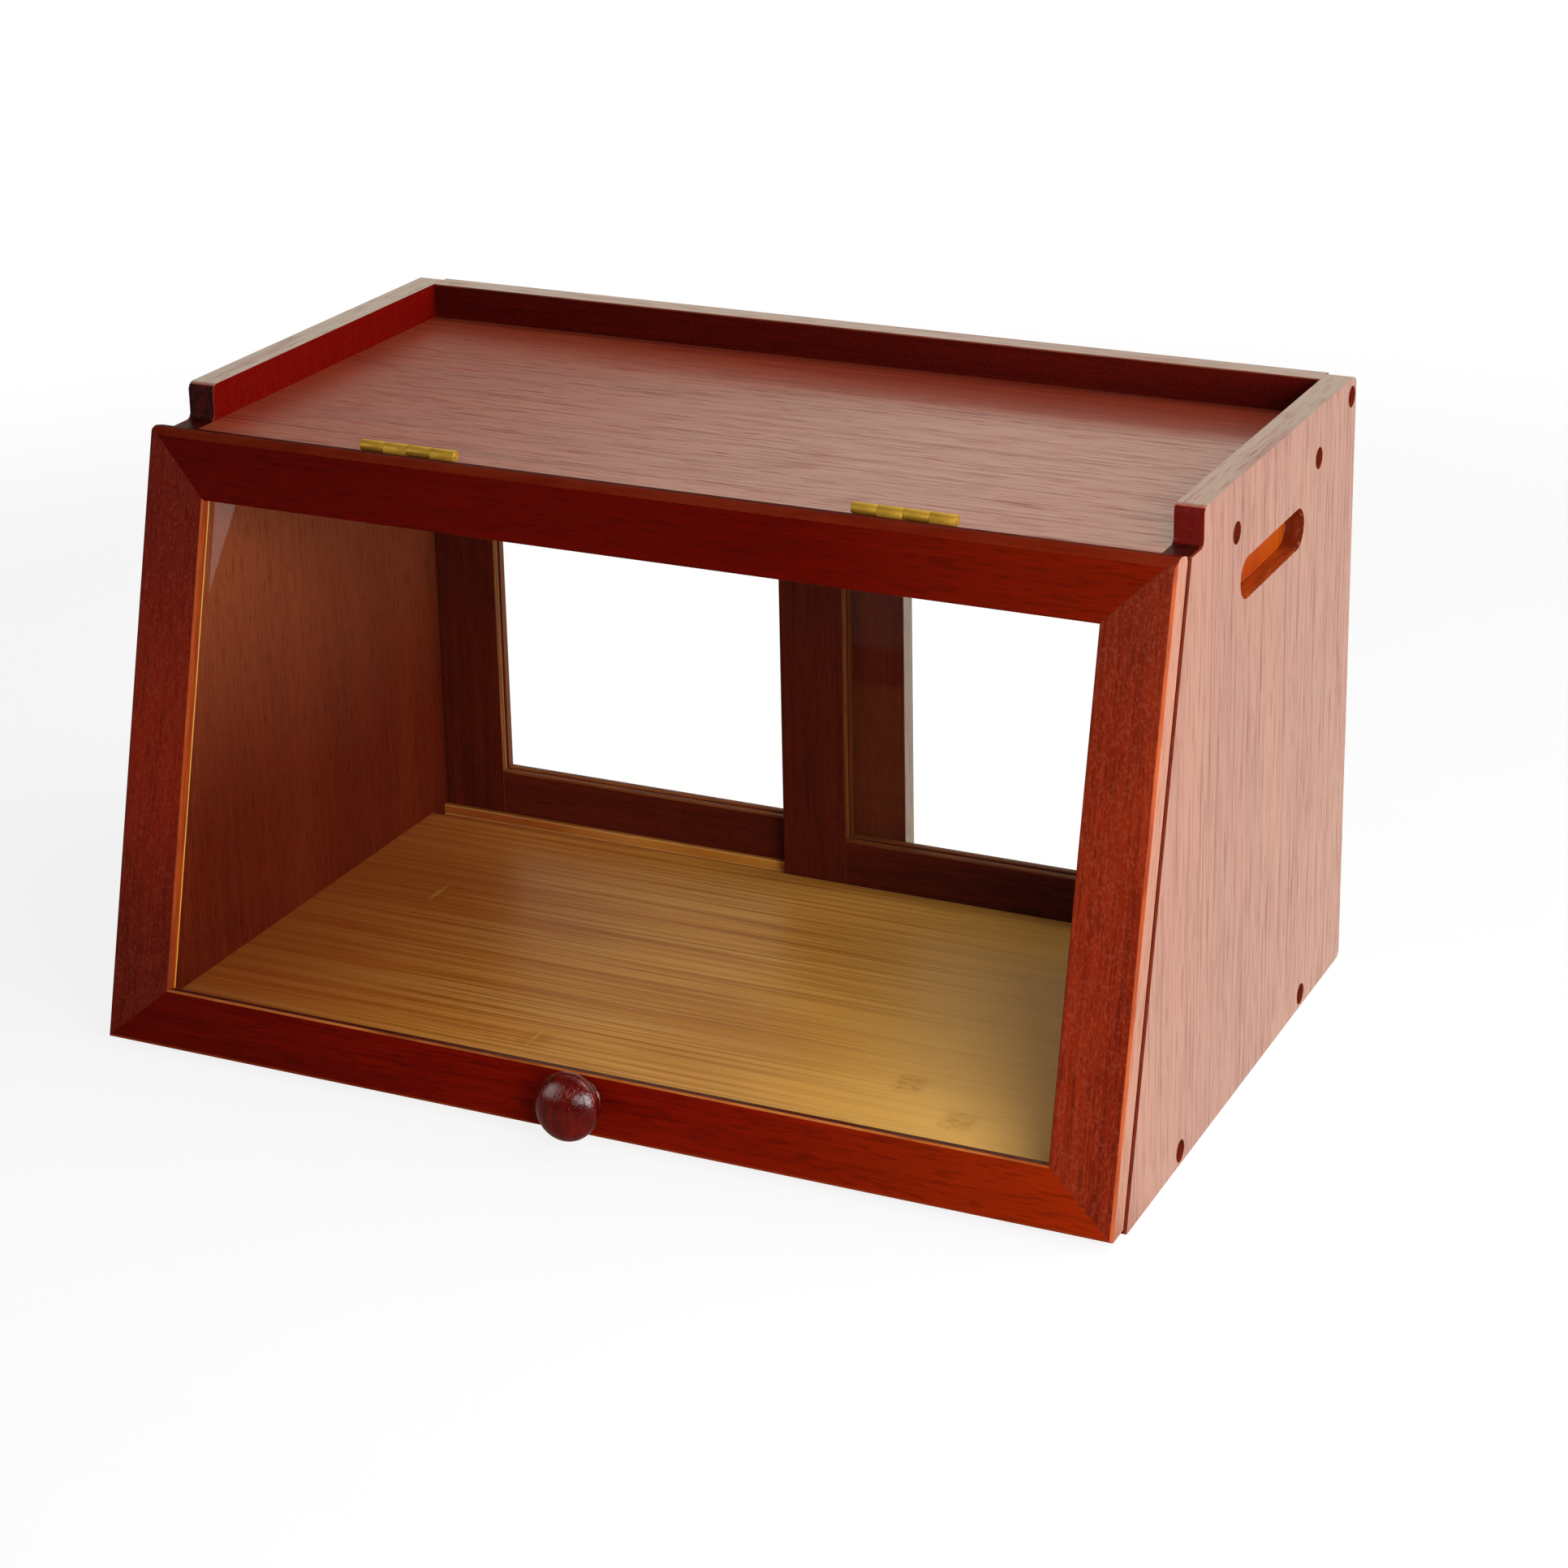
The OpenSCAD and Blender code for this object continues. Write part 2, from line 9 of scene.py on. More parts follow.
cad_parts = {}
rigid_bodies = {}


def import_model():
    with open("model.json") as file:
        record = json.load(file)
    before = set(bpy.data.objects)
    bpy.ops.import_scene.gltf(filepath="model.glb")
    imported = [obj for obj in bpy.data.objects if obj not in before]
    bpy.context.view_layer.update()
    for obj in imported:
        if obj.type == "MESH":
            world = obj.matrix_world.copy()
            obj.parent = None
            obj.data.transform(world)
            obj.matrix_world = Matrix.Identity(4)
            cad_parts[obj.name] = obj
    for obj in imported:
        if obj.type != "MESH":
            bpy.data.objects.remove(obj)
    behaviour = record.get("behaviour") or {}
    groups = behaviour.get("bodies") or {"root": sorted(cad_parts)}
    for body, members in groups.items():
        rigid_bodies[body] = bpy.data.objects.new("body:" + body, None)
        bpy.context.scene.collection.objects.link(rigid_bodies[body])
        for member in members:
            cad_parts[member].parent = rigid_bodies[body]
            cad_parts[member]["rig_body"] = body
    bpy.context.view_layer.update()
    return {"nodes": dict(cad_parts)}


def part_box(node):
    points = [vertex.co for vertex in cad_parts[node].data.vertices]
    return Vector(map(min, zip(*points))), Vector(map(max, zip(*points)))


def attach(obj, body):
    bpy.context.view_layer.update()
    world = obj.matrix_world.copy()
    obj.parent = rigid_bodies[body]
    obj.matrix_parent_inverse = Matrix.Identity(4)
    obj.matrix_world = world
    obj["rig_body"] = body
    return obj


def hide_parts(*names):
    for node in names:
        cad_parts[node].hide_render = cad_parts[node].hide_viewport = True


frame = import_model()
nodes = frame["nodes"]
print("frame loaded:", len(nodes), "solids")

mm = 0.001
quarter = math.radians(90)
scene = bpy.context.scene
bodyOf = {name: solid["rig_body"] for name, solid in nodes.items()}

# The flap, the hinges and the front edges of the sides lean back by this slope; the flap's front
# face stands off from it
slope = {"angle": math.radians(14), "foot": -102 * mm, "front": -14 * mm}
onSlope = Matrix.Translation((0, slope["foot"], 0)) @ Matrix.Rotation(-slope["angle"], 4, "X")


def paint(code):
    # a colour as a paint chart gives it, made linear
    parts = [int(code[i:i + 2], 16) / 255 for i in (0, 2, 4)]
    return tuple(c / 12.92 if c <= 0.04045 else ((c + 0.055) / 1.055) ** 2.4 for c in parts) + (1,)


class Wire:  # one output of a node, with maths on it
    def __init__(self, bench, socket):
        self.bench, self.socket = bench, socket

    def calc(self, operation, *others):
        return self.bench.maths(operation, self, *others)

    def __add__(self, other):
        return self.calc("ADD", other)

    def __sub__(self, other):
        return self.calc("SUBTRACT", other)

    def __rsub__(self, other):
        return self.bench.maths("SUBTRACT", other, self)

    def __mul__(self, other):
        return self.calc("MULTIPLY", other)

    def __truediv__(self, other):
        return self.calc("DIVIDE", other)

    __radd__, __rmul__ = __add__, __mul__

    def ramp(self, low, high, start=0, end=1):
        # start at low, end at high, smooth between and flat outside
        return self.bench.node("ShaderNodeMapRange", {"interpolation_type": "SMOOTHSTEP"},
                               {"Value": self, "From Min": low, "From Max": high,
                                "To Min": start, "To Max": end})


class Bench:  # builds the node tree of a material or a world
    def __init__(self, owner):
        owner.use_nodes = True
        self.owner, self.tree = owner, owner.node_tree
        self.tree.nodes.clear()

    def node(self, kind, settings=None, sockets=None, output=0):
        made = self.tree.nodes.new(kind)
        for key, value in (settings or {}).items():
            setattr(made, key, value)
        for key, value in (sockets or {}).items():
            for end in value if isinstance(value, list) else [value]:  # a list: many links
                if isinstance(end, Wire):
                    self.tree.links.new(end.socket, made.inputs[key])
                else:
                    made.inputs[key].default_value = end
        return Wire(self, made.outputs[output]) if made.outputs else None

    def maths(self, operation, *values):
        return self.node("ShaderNodeMath", {"operation": operation}, dict(enumerate(values)))

    def place(self, turn=(0, 0, 0), shift=(0, 0, 0)):
        spot = self.node("ShaderNodeTexCoord", output="Object")
        return self.node("ShaderNodeMapping", {},
                         {"Vector": spot, "Rotation": turn, "Location": shift})

    def vector(self, x=0, y=0, z=0):
        return self.node("ShaderNodeCombineXYZ", {}, {0: x, 1: y, 2: z})

    def stretch(self, vector, scale):
        return self.node("ShaderNodeVectorMath", {"operation": "MULTIPLY"}, {0: vector, 1: scale})

    def noise(self, vector, scale, detail=2, roughness=0.5, bend=0):
        return self.node("ShaderNodeTexNoise", {},
                         {"Vector": self.stretch(vector, scale), "Scale": 1, "Detail": detail,
                          "Roughness": roughness, "Distortion": bend})

    def axis(self, vector, which):
        return self.node("ShaderNodeSeparateXYZ", {}, {0: vector}, output=which)

    def blend(self, factor, first, second):
        first, second = (paint(end) if isinstance(end, str) else end for end in (first, second))
        return self.node("ShaderNodeMix", {"data_type": "RGBA"},
                         {0: factor, 6: first, 7: second}, output=2)

    def bump(self, height, strength, distance):
        return self.node("ShaderNodeBump", {}, {"Height": height, "Strength": strength,
                                                "Distance": distance})

    def finish(self, shader, kind="ShaderNodeOutputMaterial"):
        self.node(kind, {}, {"Surface": shader})
        return self.owner

    def skin(self, look, colour, rough, height, coat=0):
        # the closing surface of every solid finish; the look gives what is the same all over
        return self.finish(self.node("ShaderNodeBsdfPrincipled", {}, {
            "Base Color": colour,
            "Roughness": rough,
            "Metallic": look.get("metallic", 0),
            "Specular IOR Level": look.get("shine", 0.5),
            "Coat Weight": coat,
            "Coat Roughness": look.get("coatRough", 0.03),
            "Normal": self.bump(height, look["relief"], look["depth"]),
        }))


# Wood: the grain runs along Z once the piece's own turn is taken
grainTurn = {
    "up": (0, 0, 0),
    "across": (0, quarter, 0),
    "slopeUp": (slope["angle"], 0, 0),
    "slopeAcross": (slope["angle"], quarter, 0),
    "backward": (quarter, 0, 0),
}
stain = {
    "deep": "4a0f06", "mid": "7c2410", "warm": "a8401c",
    "pore": "2a0703", "wearAndHighlight": "c8662c",
    "drift": (19, 19, 2.4), "streak": (420, 420, 10), "line": (620, 620, 17),
    "fibre": (1400, 1400, 40), "dash": (1100, 1100, 95),
    "poreDepth": 0.3, "lineDepth": 0.12, "rough": 0.4, "gloss": 0.02, "shine": 0.06,
    "coatRough": 0.16, "relief": 0.1, "depth": 0.1 * mm, "dry": 0.2, "speck": 0.04,
    "speckPale": "a8583c", "speckSize": (1200, 1200, 700), "rubAndHighlight": (60, 60, 22),
}


def stainedWood(name, grain, shift, look, wearAndHighlight=0):
    look = dict(stain, **look)
    bench = Bench(bpy.data.materials.new(name))
    spot = bench.place(grainTurn[grain], shift)
    drift = bench.noise(spot, look["drift"], 3, 0.55, 0.6)
    streak = bench.noise(spot, look["streak"], 4, 0.62)
    fibre = bench.noise(spot, look["fibre"], 2)
    pores = bench.noise(spot, look["dash"], 1).ramp(0.55, 0.65)
    lines = bench.noise(spot, look["line"], 3, 0.6).ramp(0.5, 0.66)
    figure = (streak * 0.7 + fibre * 0.5).ramp(0.36, 0.84)
    colour = bench.blend(figure, look["deep"], look["mid"])
    colour = bench.blend(drift.ramp(0.36, 0.72, 0, 0.5), colour, look["warm"])
    for way, start, end, share, code in look.get("washesAndShading", ()):  # slow changes of the stain, and painted light and shade
        far = bench.axis(bench.place(), way).ramp(start * mm, end * mm, 0, share)
        colour = bench.blend(far, colour, code)
    colour = bench.blend(lines * look["lineDepth"], colour, look["pore"])
    colour = bench.blend(pores * look["poreDepth"], colour, look["pore"])
    if look["speck"]:
        speck = bench.noise(spot, look["speckSize"], 2).ramp(0.45, 0.7)
        colour = bench.blend(speck * look["speck"], colour, look["speckPale"])
    # paler rounded edges: partly wear, partly a painted highlight where the rounds would catch the
    # light
    if wearAndHighlight:
        rubAndHighlight = bench.noise(spot, look["rubAndHighlight"], 4, 0.6).ramp(0.36, 0.62, 0.35, 1)
        colour = bench.blend(rubAndHighlight * wearAndHighlight, colour, look["wearAndHighlight"])
    coat = 0
    if look["gloss"]:
        coat = look["gloss"] * (1 - pores * 0.3 - lines * look["dry"])
        if "fadedSheen" in look:  # the coat, and with it the sheen, fades towards the left end: a painted weaker reflection there
            coat = coat * bench.axis(bench.place(), "X").ramp(*look["fadedSheen"])
    return bench.skin(look, colour, look["rough"] + fibre * 0.12 + pores * 0.2,
                      fibre * 0.35 + streak * 0.5 - pores * 0.6, coat)


seamLook = {"dark": "1c0502", "pale": "4a120a", "grime": (700, 700, 700), "rough": 0.55,
            "relief": 0.2, "depth": 0.1 * mm}


def seamWood(name, look):
    bench = Bench(bpy.data.materials.new(name))
    grime = bench.noise(bench.place(), look["grime"], 3)
    colour = bench.blend(grime, look["dark"], look["pale"])
    return bench.skin(look, colour, look["rough"] + grime * 0.2, grime)


gripLook = {"pale": "a23e06", "dark": "742604", "fleck": "b87858", "rear": "561402",
            "rim": (191.5 * mm, 194.6 * mm), "rearFrom": 58 * mm, "rearTo": 68 * mm,
            "layer": (400, 90, 90), "crumb": (900, 700, 700), "rough": 0.46, "coat": 0.02,
            "shine": 0.1, "relief": 0.25, "depth": 0.15 * mm}


def cutWood(name, look):
    # where a cutter went through the stained board the core drinks a brighter orange
    bench = Bench(bpy.data.materials.new(name))
    spot = bench.place()
    layer = bench.noise(spot, look["layer"], 3)
    rim = bench.axis(spot, "X").calc("ABSOLUTE").ramp(*look["rim"])  # torn fibres near the rim
    fleck = bench.noise(spot, look["crumb"], 2).ramp(0.52, 0.66) * rim
    colour = bench.blend(layer.ramp(0.2, 0.8), look["dark"], look["pale"])
    rear = bench.axis(spot, "Y").ramp(look["rearFrom"], look["rearTo"], 0, 0.75)
    colour = bench.blend(rear, colour, look["rear"])
    colour = bench.blend(fleck * 0.35, colour, look["fleck"])
    return bench.skin(look, colour, look["rough"] + layer * 0.15, layer - fleck,
                      look["coat"] + fleck * 0.1)


gripFloorLook = {"deep": "8c2e04", "mid": "a43c05", "warm": "b04608", "pore": "8a2c04",
                 "line": (500, 500, 18), "dash": (900, 900, 60), "poreDepth": 0.2,
                 "lineDepth": 0.3, "gloss": 0, "shine": 0.05,
                 "washesAndShading": [("Y", 34, 64, 0.4, "cc6208")]}


# What all inner edges share: how far before and past the pane's front the tones change, grain, gloss
innerEdge = {"before": (0.7 * mm, 0.35 * mm), "past": (0.1 * mm, 0.5 * mm),
             "layer": (45, 900, 45), "streak": (30, 500, 30), "rough": 0.42, "coat": 0.02,
             "shine": 0.08, "relief": 0.2, "depth": 0.1 * mm}


def revealWood(name, look):
    # inner edge of a frame: bare orange core in front, a bright bead where it meets the pane
    look = dict(innerEdge, **look)
    bench = Bench(bpy.data.materials.new(name))
    spot = bench.place(look["turn"], (0, -look["front"], 0))
    depth = bench.axis(spot, "Y")
    layer = bench.noise(spot, look["layer"], 3)
    streak = bench.noise(spot, look["streak"], 3, 0.6)
    bead = depth.ramp(*(look["pane"] - reach for reach in look["before"]))
    past = depth.ramp(*(look["pane"] + reach for reach in look["past"]))
    colour = bench.blend(layer.ramp(0.35, 0.7), look["dark"], look["core"])
    colour = bench.blend(streak.ramp(0.5, 0.7) * 0.4, colour, look["dark"])
    colour = bench.blend(bead, colour, look["bead"])
    colour = bench.blend(past, colour, look["dark"])
    return bench.skin(look, colour, look["rough"] + layer * 0.2, layer + bead * 0.8,
                      look["coat"] + bead * 0.08)


endLook = {"dark": "230806", "mid": "4e100a", "scratch": "8c4a3c", "right": "6c0a03",
           "ring": (500, 60, 170), "saw": (160, 60, 1500), "half": 150 * mm, "rough": 0.5,
           "shine": 0.08, "relief": 0.3, "depth": 0.15 * mm}


def endGrain(name, look):
    # the sawn front ends of the rails drink the stain nearly black
    bench = Bench(bpy.data.materials.new(name))
    spot = bench.place()
    ring = bench.noise(spot, look["ring"], 3, 0.6)
    scratch = bench.noise(spot, look["saw"], 2).ramp(0.66, 0.76)
    colour = bench.blend(ring.ramp(0.35, 0.7), look["dark"], look["mid"])
    redder = bench.axis(spot, "X").ramp(-look["half"], look["half"], 0, 0.65)
    colour = bench.blend(redder, colour, look["right"])
    colour = bench.blend(scratch * 0.5, colour, look["scratch"])
    return bench.skin(look, colour, look["rough"] + ring * 0.2, ring - scratch)


bamboo = {
    "strip": 19.5 * mm, "span": 165 * mm, "half": 195 * mm,
    "pale": "e8b058", "honey": "d48e30", "brown": "a8601a", "fleck": "8c5014", "stainAndShadeLeft": "8c2c08",
    "sunny": "ffc868", "wearAndHighlight": "e0b878", "nodeHalf": 8 * mm, "nodeShare": 0.3, "nodeSide": (0.44, 0.2),
    "joint": (0.487, 0.497), "fibre": (9, 1300, 1), "streak": (5, 400, 1), "hair": (7, 720, 1),
    "cloud": (6, 14, 6), "dot": (330, 560, 1), "seeds": (31.7, 7.3), "rough": 0.36, "coat": 0.06,
    "coatRough": 0.2, "shine": 0.15, "relief": 0.2, "depth": 0.12 * mm,
}


def bambooBoard(name, look, wearAndHighlight=0):
    bench = Bench(bpy.data.materials.new(name))
    spot = bench.place()
    along, across = bench.axis(spot, "X"), bench.axis(spot, "Y")
    row = (across / look["strip"]).calc("FLOOR")
    luck, luckToo = (bench.node("ShaderNodeTexWhiteNoise", {"noise_dimensions": "1D"},
                                {"W": row + seed}) for seed in look["seeds"])
    # each strip slides its own way along the board
    slid = bench.vector(along + luck * 3.1, across, row * 0.37)
    fibre = bench.noise(slid, look["fibre"], 3, 0.6)
    streak = bench.noise(slid, look["streak"], 4, 0.62)
    hair = bench.noise(slid, look["hair"], 2, 0.6).ramp(0.52, 0.6)
    cloud = bench.noise(spot, look["cloud"], 2)
    beat = (along + luckToo * look["span"]) / look["span"]
    whole = beat.calc("FLOOR")
    away = (beat - whole - 0.5).calc("ABSOLUTE") * look["span"]
    draw = bench.node("ShaderNodeTexWhiteNoise", {"noise_dimensions": "2D"},
                      {"Vector": bench.vector(whole + 3.2, row + 5.6)})
    kept = draw.calc("LESS_THAN", look["nodeShare"])
    zone = away.ramp(look["nodeHalf"], look["nodeHalf"] * 0.35) * kept
    fleck = bench.noise(slid, look["dot"], 2, 0.6).ramp(0.42, 0.66)
    ring = (away + (streak - 0.5) * 2 * mm).ramp(0.9 * mm, 0.3 * mm) * kept
    edge = ((across / look["strip"]).calc("FRACT") - 0.5).calc("ABSOLUTE")
    joint = edge.ramp(*look["joint"])
    zone = zone * edge.ramp(*look["nodeSide"])
    colour = bench.blend((streak * 0.65 + fibre * 0.55).ramp(0.42, 0.82),
                         look["honey"], look["pale"])
    colour = bench.blend(luck.ramp(0.35, 1, 0, 0.4), colour, look["honey"])
    colour = bench.blend(streak.ramp(0.52, 0.3, 0, 0.6), colour, look["brown"])
    colour = bench.blend(hair * 0.65, colour, look["brown"])
    colour = bench.blend(cloud.ramp(0.45, 0.7, 0, 0.3), colour, look["brown"])
    # towards the left end the floor turns redder and darker, partly stain, partly painted shade;
    # towards the right it is painted lighter, which is painted light
    colour = bench.blend(along.ramp(0.1 * look["half"], -look["half"], 0, 0.75), colour,
                         look["stainAndShadeLeft"])
    colour = bench.blend(along.ramp(0, 0.7 * look["half"], 0, 0.8), colour, look["sunny"])
    colour = bench.blend(zone * 0.15, colour, look["brown"])
    colour = bench.blend(zone * fleck * 0.3, colour, look["fleck"])
    colour = bench.blend(ring * zone * 0.3, colour, look["pale"])
    colour = bench.blend(joint * 0.2, colour, look["brown"])
    if wearAndHighlight:
        colour = bench.blend(wearAndHighlight, colour, look["wearAndHighlight"])
    return bench.skin(look, colour, look["rough"] + fibre * 0.14 + zone * 0.1,
                      fibre * 0.4 + zone * fleck * 0.6 - joint * 0.5, look["coat"] - joint * 0.05)


paneMake = {"flap": "fdfefd", "slider": "fbfdfb", "index": 1.3, "ripple": (14, 14, 5),
            "relief": 0.02, "depth": 0.05 * mm, "ease": 0.25 * mm}


def clearPane(name, tint):
    bench = Bench(bpy.data.materials.new(name))
    ripple = bench.noise(bench.place(), paneMake["ripple"], 2)
    glass = bench.node("ShaderNodeBsdfPrincipled", {}, {
        "Base Color": bench.blend(ripple, tint, "ffffff"),
        "Roughness": 0.0,
        "IOR": paneMake["index"],
        "Transmission Weight": 1.0,
        "Normal": bench.bump(ripple, paneMake["relief"], paneMake["depth"]),
    })
    lampRay = bench.node("ShaderNodeLightPath", output="Is Shadow Ray")
    through = bench.node("ShaderNodeBsdfTransparent")
    return bench.finish(bench.node("ShaderNodeMixShader", {}, {0: lampRay, 1: glass, 2: through}))


def metal(name, look):
    bench = Bench(bpy.data.materials.new(name))
    spot = bench.place()
    tarnish = bench.noise(spot, look["tarnish"], 4, 0.6)
    brush = bench.noise(spot, look["brush"], 2)
    scratch = bench.noise(spot, look["scratch"], 1).ramp(0.66, 0.74)
    colour = bench.blend(tarnish.ramp(0.35, 0.7), look["dark"], look["bright"])
    colour = bench.blend(scratch * 0.4, colour, look["edge"])
    return bench.skin(look, colour, look["rough"] + tarnish * 0.1 + brush * 0.06,
                      brush * 0.5 + tarnish * 0.5 - scratch)


lacquer = {"dark": "420502", "mid": "680a04", "light": "78160a", "shift": (0.3, 0.1, 0.2),
           "cloud": (60, 60, 60), "grain": (700, 160, 120), "run": (1400, 1100, 520),
           "rough": 0.07, "coat": 0.15, "coatRough": 0.1, "shine": 0.45, "relief": 1,
           "depth": 0.16 * mm}


def lacqueredWood(name, look):
    bench = Bench(bpy.data.materials.new(name))
    spot = bench.place(grainTurn["slopeUp"], look["shift"])
    cloud = bench.noise(spot, look["cloud"], 3)
    grain = bench.noise(spot, look["grain"], 3)
    run = bench.noise(spot, look["run"], 2, 0.6, 1.2)  # runs and brush marks in the lacquer
    colour = bench.blend(grain.ramp(0.35, 0.75), look["dark"], look["mid"])
    colour = bench.blend(cloud.ramp(0.45, 0.75, 0, 0.5), colour, look["light"])
    return bench.skin(look, colour, look["rough"] + cloud * 0.08, run, look["coat"] + cloud * 0.1)


print("finishes: stained and cut wood, reveals, end grain, bamboo, glass, metal, lacquer")


def smoothBy(mesh, degrees=35):
    mesh.polygons.foreach_set("use_smooth", [True] * len(mesh.polygons))
    mesh.set_sharp_from_angle(angle=math.radians(degrees))


def newObject(name, data):
    made = bpy.data.objects.new(name, data)
    scene.collection.objects.link(made)
    return made


def plain(obj, name):
    # the evaluated result as a plain mesh on a new object at the origin
    graph = bpy.context.evaluated_depsgraph_get()
    mesh = bpy.data.meshes.new_from_object(obj.evaluated_get(graph), depsgraph=graph)
    mesh.name = name
    made, spent = newObject(name, mesh), obj.data
    bpy.data.objects.remove(obj)
    bpy.data.meshes.remove(spent)
    return made


def fromBmesh(name, bm, materials=()):
    mesh = bpy.data.meshes.new(name)
    bm.to_mesh(mesh)
    bm.free()
    for material in materials:
        mesh.materials.append(material)
    return newObject(name, mesh)


def roundEdges(bm, edges, width, segments=2):
    bmesh.ops.bevel(bm, geom=edges, offset=width, segments=segments, profile=0.5, affect="EDGES")


def handIn(piece, body, slotName, *replaced):
    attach(piece, body)
    if replaced:
        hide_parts(*replaced)


# How a copy of a solid is cleaned: corners closer than this merge, faces flatter than this join
cleaning = {"merge": 2e-6, "flat": math.radians(0.6)}


def cadCopy(name):
    bm = bmesh.new()
    bm.from_mesh(nodes[name].data)
    bmesh.ops.remove_doubles(bm, verts=bm.verts, dist=cleaning["merge"])
    bmesh.ops.dissolve_limit(bm, angle_limit=cleaning["flat"], verts=bm.verts, edges=bm.edges)
    return bm


solidTree = {}
for solidName, solid in nodes.items():
    bm = cadCopy(solidName)
    solidTree[solidName] = BVHTree.FromBMesh(bm)
    bm.free()


def touching(name, point, reach):
    mates = (other for other in nodes if other != name and bodyOf[other] == bodyOf[name])
    return any(solidTree[other].find_nearest(point, reach)[0] for other in mates)


# How far sharp edges are eased: free ones show a round, glued ones only a hairline
easing = {"free": 0.8 * mm, "flap": 0.7 * mm, "slider": 0.6 * mm, "floor": 0.5 * mm,
          "glued": 0.2 * mm, "bore": 0.35 * mm, "reach": 0.05 * mm, "seamReach": 0.2 * mm,
          "boreReach": 7 * mm, "sharp": math.radians(35), "rounds": 3}


def easedCopy(name, materials, kind, boreSpots=()):
    free = easing[kind]
    bm = cadCopy(name)
    weight = bm.edges.layers.float.new("bevel_weight_edge")
    for edge in bm.edges:
        if len(edge.link_faces) != 2 or edge.calc_face_angle() < easing["sharp"]:
            continue
        middle = (edge.verts[0].co + edge.verts[1].co) / 2
        if touching(name, middle, easing["reach"]):
            edge[weight] = easing["glued"] / free
        elif any((Vector(spot) - Vector((abs(middle.x), middle.y, middle.z))).length
                 < easing["boreReach"] for spot in boreSpots):
            edge[weight] = easing["bore"] / free
        else:
            edge[weight] = 1
    obj = fromBmesh(name + ".eased", bm, materials)
    smoothBy(obj.data)
    bevel = obj.modifiers.new("ease", "BEVEL")
    bevel.limit_method, bevel.width, bevel.segments = "WEIGHT", free, easing["rounds"]
    bevel.material = 1
    even = obj.modifiers.new("even", "WEIGHTED_NORMAL")
    even.keep_sharp = True
    made = plain(obj, name + ".wood")
    for face in made.data.polygons:
        if face.material_index == 1 and touching(name, face.center, easing["seamReach"]):
            face.material_index = 2
    return made


# Tones of the stain; a wash is a slow change, of the stain or of painted light and shade: axis, from
# and to in mm, share, colour
# The flap's four pieces are lit and shaded copies of one stain: the left stile and the top rail are
# painted darker and the right stile lighter, partly stain, mostly painted light falling from the right.
# Their washes paint the light's falloff along each piece: lighter towards the right, darker towards the
# left, and darker towards the top of the stiles, which is painted shade
rightTone = {"deep": "5c1004", "mid": "80220a", "warm": "923010", "speck": 0.16, "shine": 0.03,
             "brow": "b85a30", "washesAndShading": [("Z", 130, 212, 0.55, "5c180c")]}
leftTone = {"deep": "460d06", "mid": "641609", "warm": "781e0c", "speck": 0.12, "shine": 0.03,
            "gloss": 0,
            "washesAndShading": [("Z", 30, 100, 0.6, "8c2209"), ("Z", 120, 200, 0.7, "5e1108")]}
topTone = {"deep": "480400", "mid": "580601", "warm": "680c02", "shine": 0.01, "gloss": 0, "speck": 0,
           "brow": "70240f", "washesAndShading": [("X", 40, 195, 0.38, "842005")]}
lowTone = {"deep": "5c0802", "mid": "781002", "warm": "861b05", "shine": 0.01, "gloss": 0, "speck": 0,
           "brow": "8c3412", "washesAndShading": [("X", -20, -195, 0.5, "430602"), ("X", 20, 195, 0.4, "a03206")]}
backTone = {"deep": "3c0402", "mid": "520903", "warm": "601006", "wearAndHighlight": "9a5036", "shine": 0.03,
            "gloss": 0}
innerTone = {"deep": "3b0d04", "mid": "541607", "warm": "621e0c", "wearAndHighlight": "541607", "relief": 0.05}
# Inner walls of the side panels; their first wash, paler towards the top, is painted light on the upper
# wall
wallTone = {"deep": "541607", "mid": "66200b", "warm": "722a10", "poreDepth": 0.25, "relief": 0.05,
            "shine": 0.02, "gloss": 0,  # the rail that stands above the board is redder
            "washesAndShading": [("Z", 50, 190, 0.8, "984e2c"), ("Z", 216.2, 216.6, 1, "6c0502")]}
veneer = {"pore": "741a0a", "dash": (1300, 1300, 60), "line": (640, 640, 10), "poreDepth": 0.5,
          "lineDepth": 0.9, "dry": 0.38, "rough": 0.36, "gloss": 1}
# The side panels' outer faces get a paler base than their inner walls: painted sheen, on top of the
# lacquer's own
panelTone = dict(veneer, deep="84321a", mid="984424", warm="a65430", shine=0.95, wearAndHighlight="a05830")
boardTone = dict(veneer, deep="802a12", mid="94381a", warm="a04622", shine=0.45,
                 fadedSheen=(-160 * mm, 110 * mm, 0.03, 0.95))
# The tops of the rails get a paler, greyer base: painted reflection of the white backdrop
railTopTone = dict(veneer, deep="64361f", mid="7e4830", warm="8c5438", shine=0.95,
                   line=(420, 420, 14))
# A side panel's slanted front edge sits in the gap behind the flap: its near-black base is partly dark
# end grain, partly painted shadow of the gap, and the reddish strip at its outer rim is painted light
shadedFrontTone = {"deep": "260302", "mid": "340604", "warm": "420a06", "gloss": 0.05, "shine": 0.05}
litFrontRim = {"right": ("X", 193.8, 194.2, 0.7, "94381e"), "left": ("X", -193.8, -194.2, 0.7, "94381e")}
# The outer edges of the frames are glossier, but for the flap's top rail
sliderFlank = {"deep": "4a2010", "mid": "5c2c18", "warm": "683620", "gloss": 1, "shine": 0.9,
               "rough": 0.34}
flankTone = {"flap": {"deep": "96401a", "mid": "ac5226", "warm": "b85e30", "gloss": 0.85,
                      "shine": 0.8, "rough": 0.34},
             "flap_top_rail": dict(topTone, deep="300401", mid="3c0602", warm="480c04"),
             "left_slider": sliderFlank, "right_slider": sliderFlank}
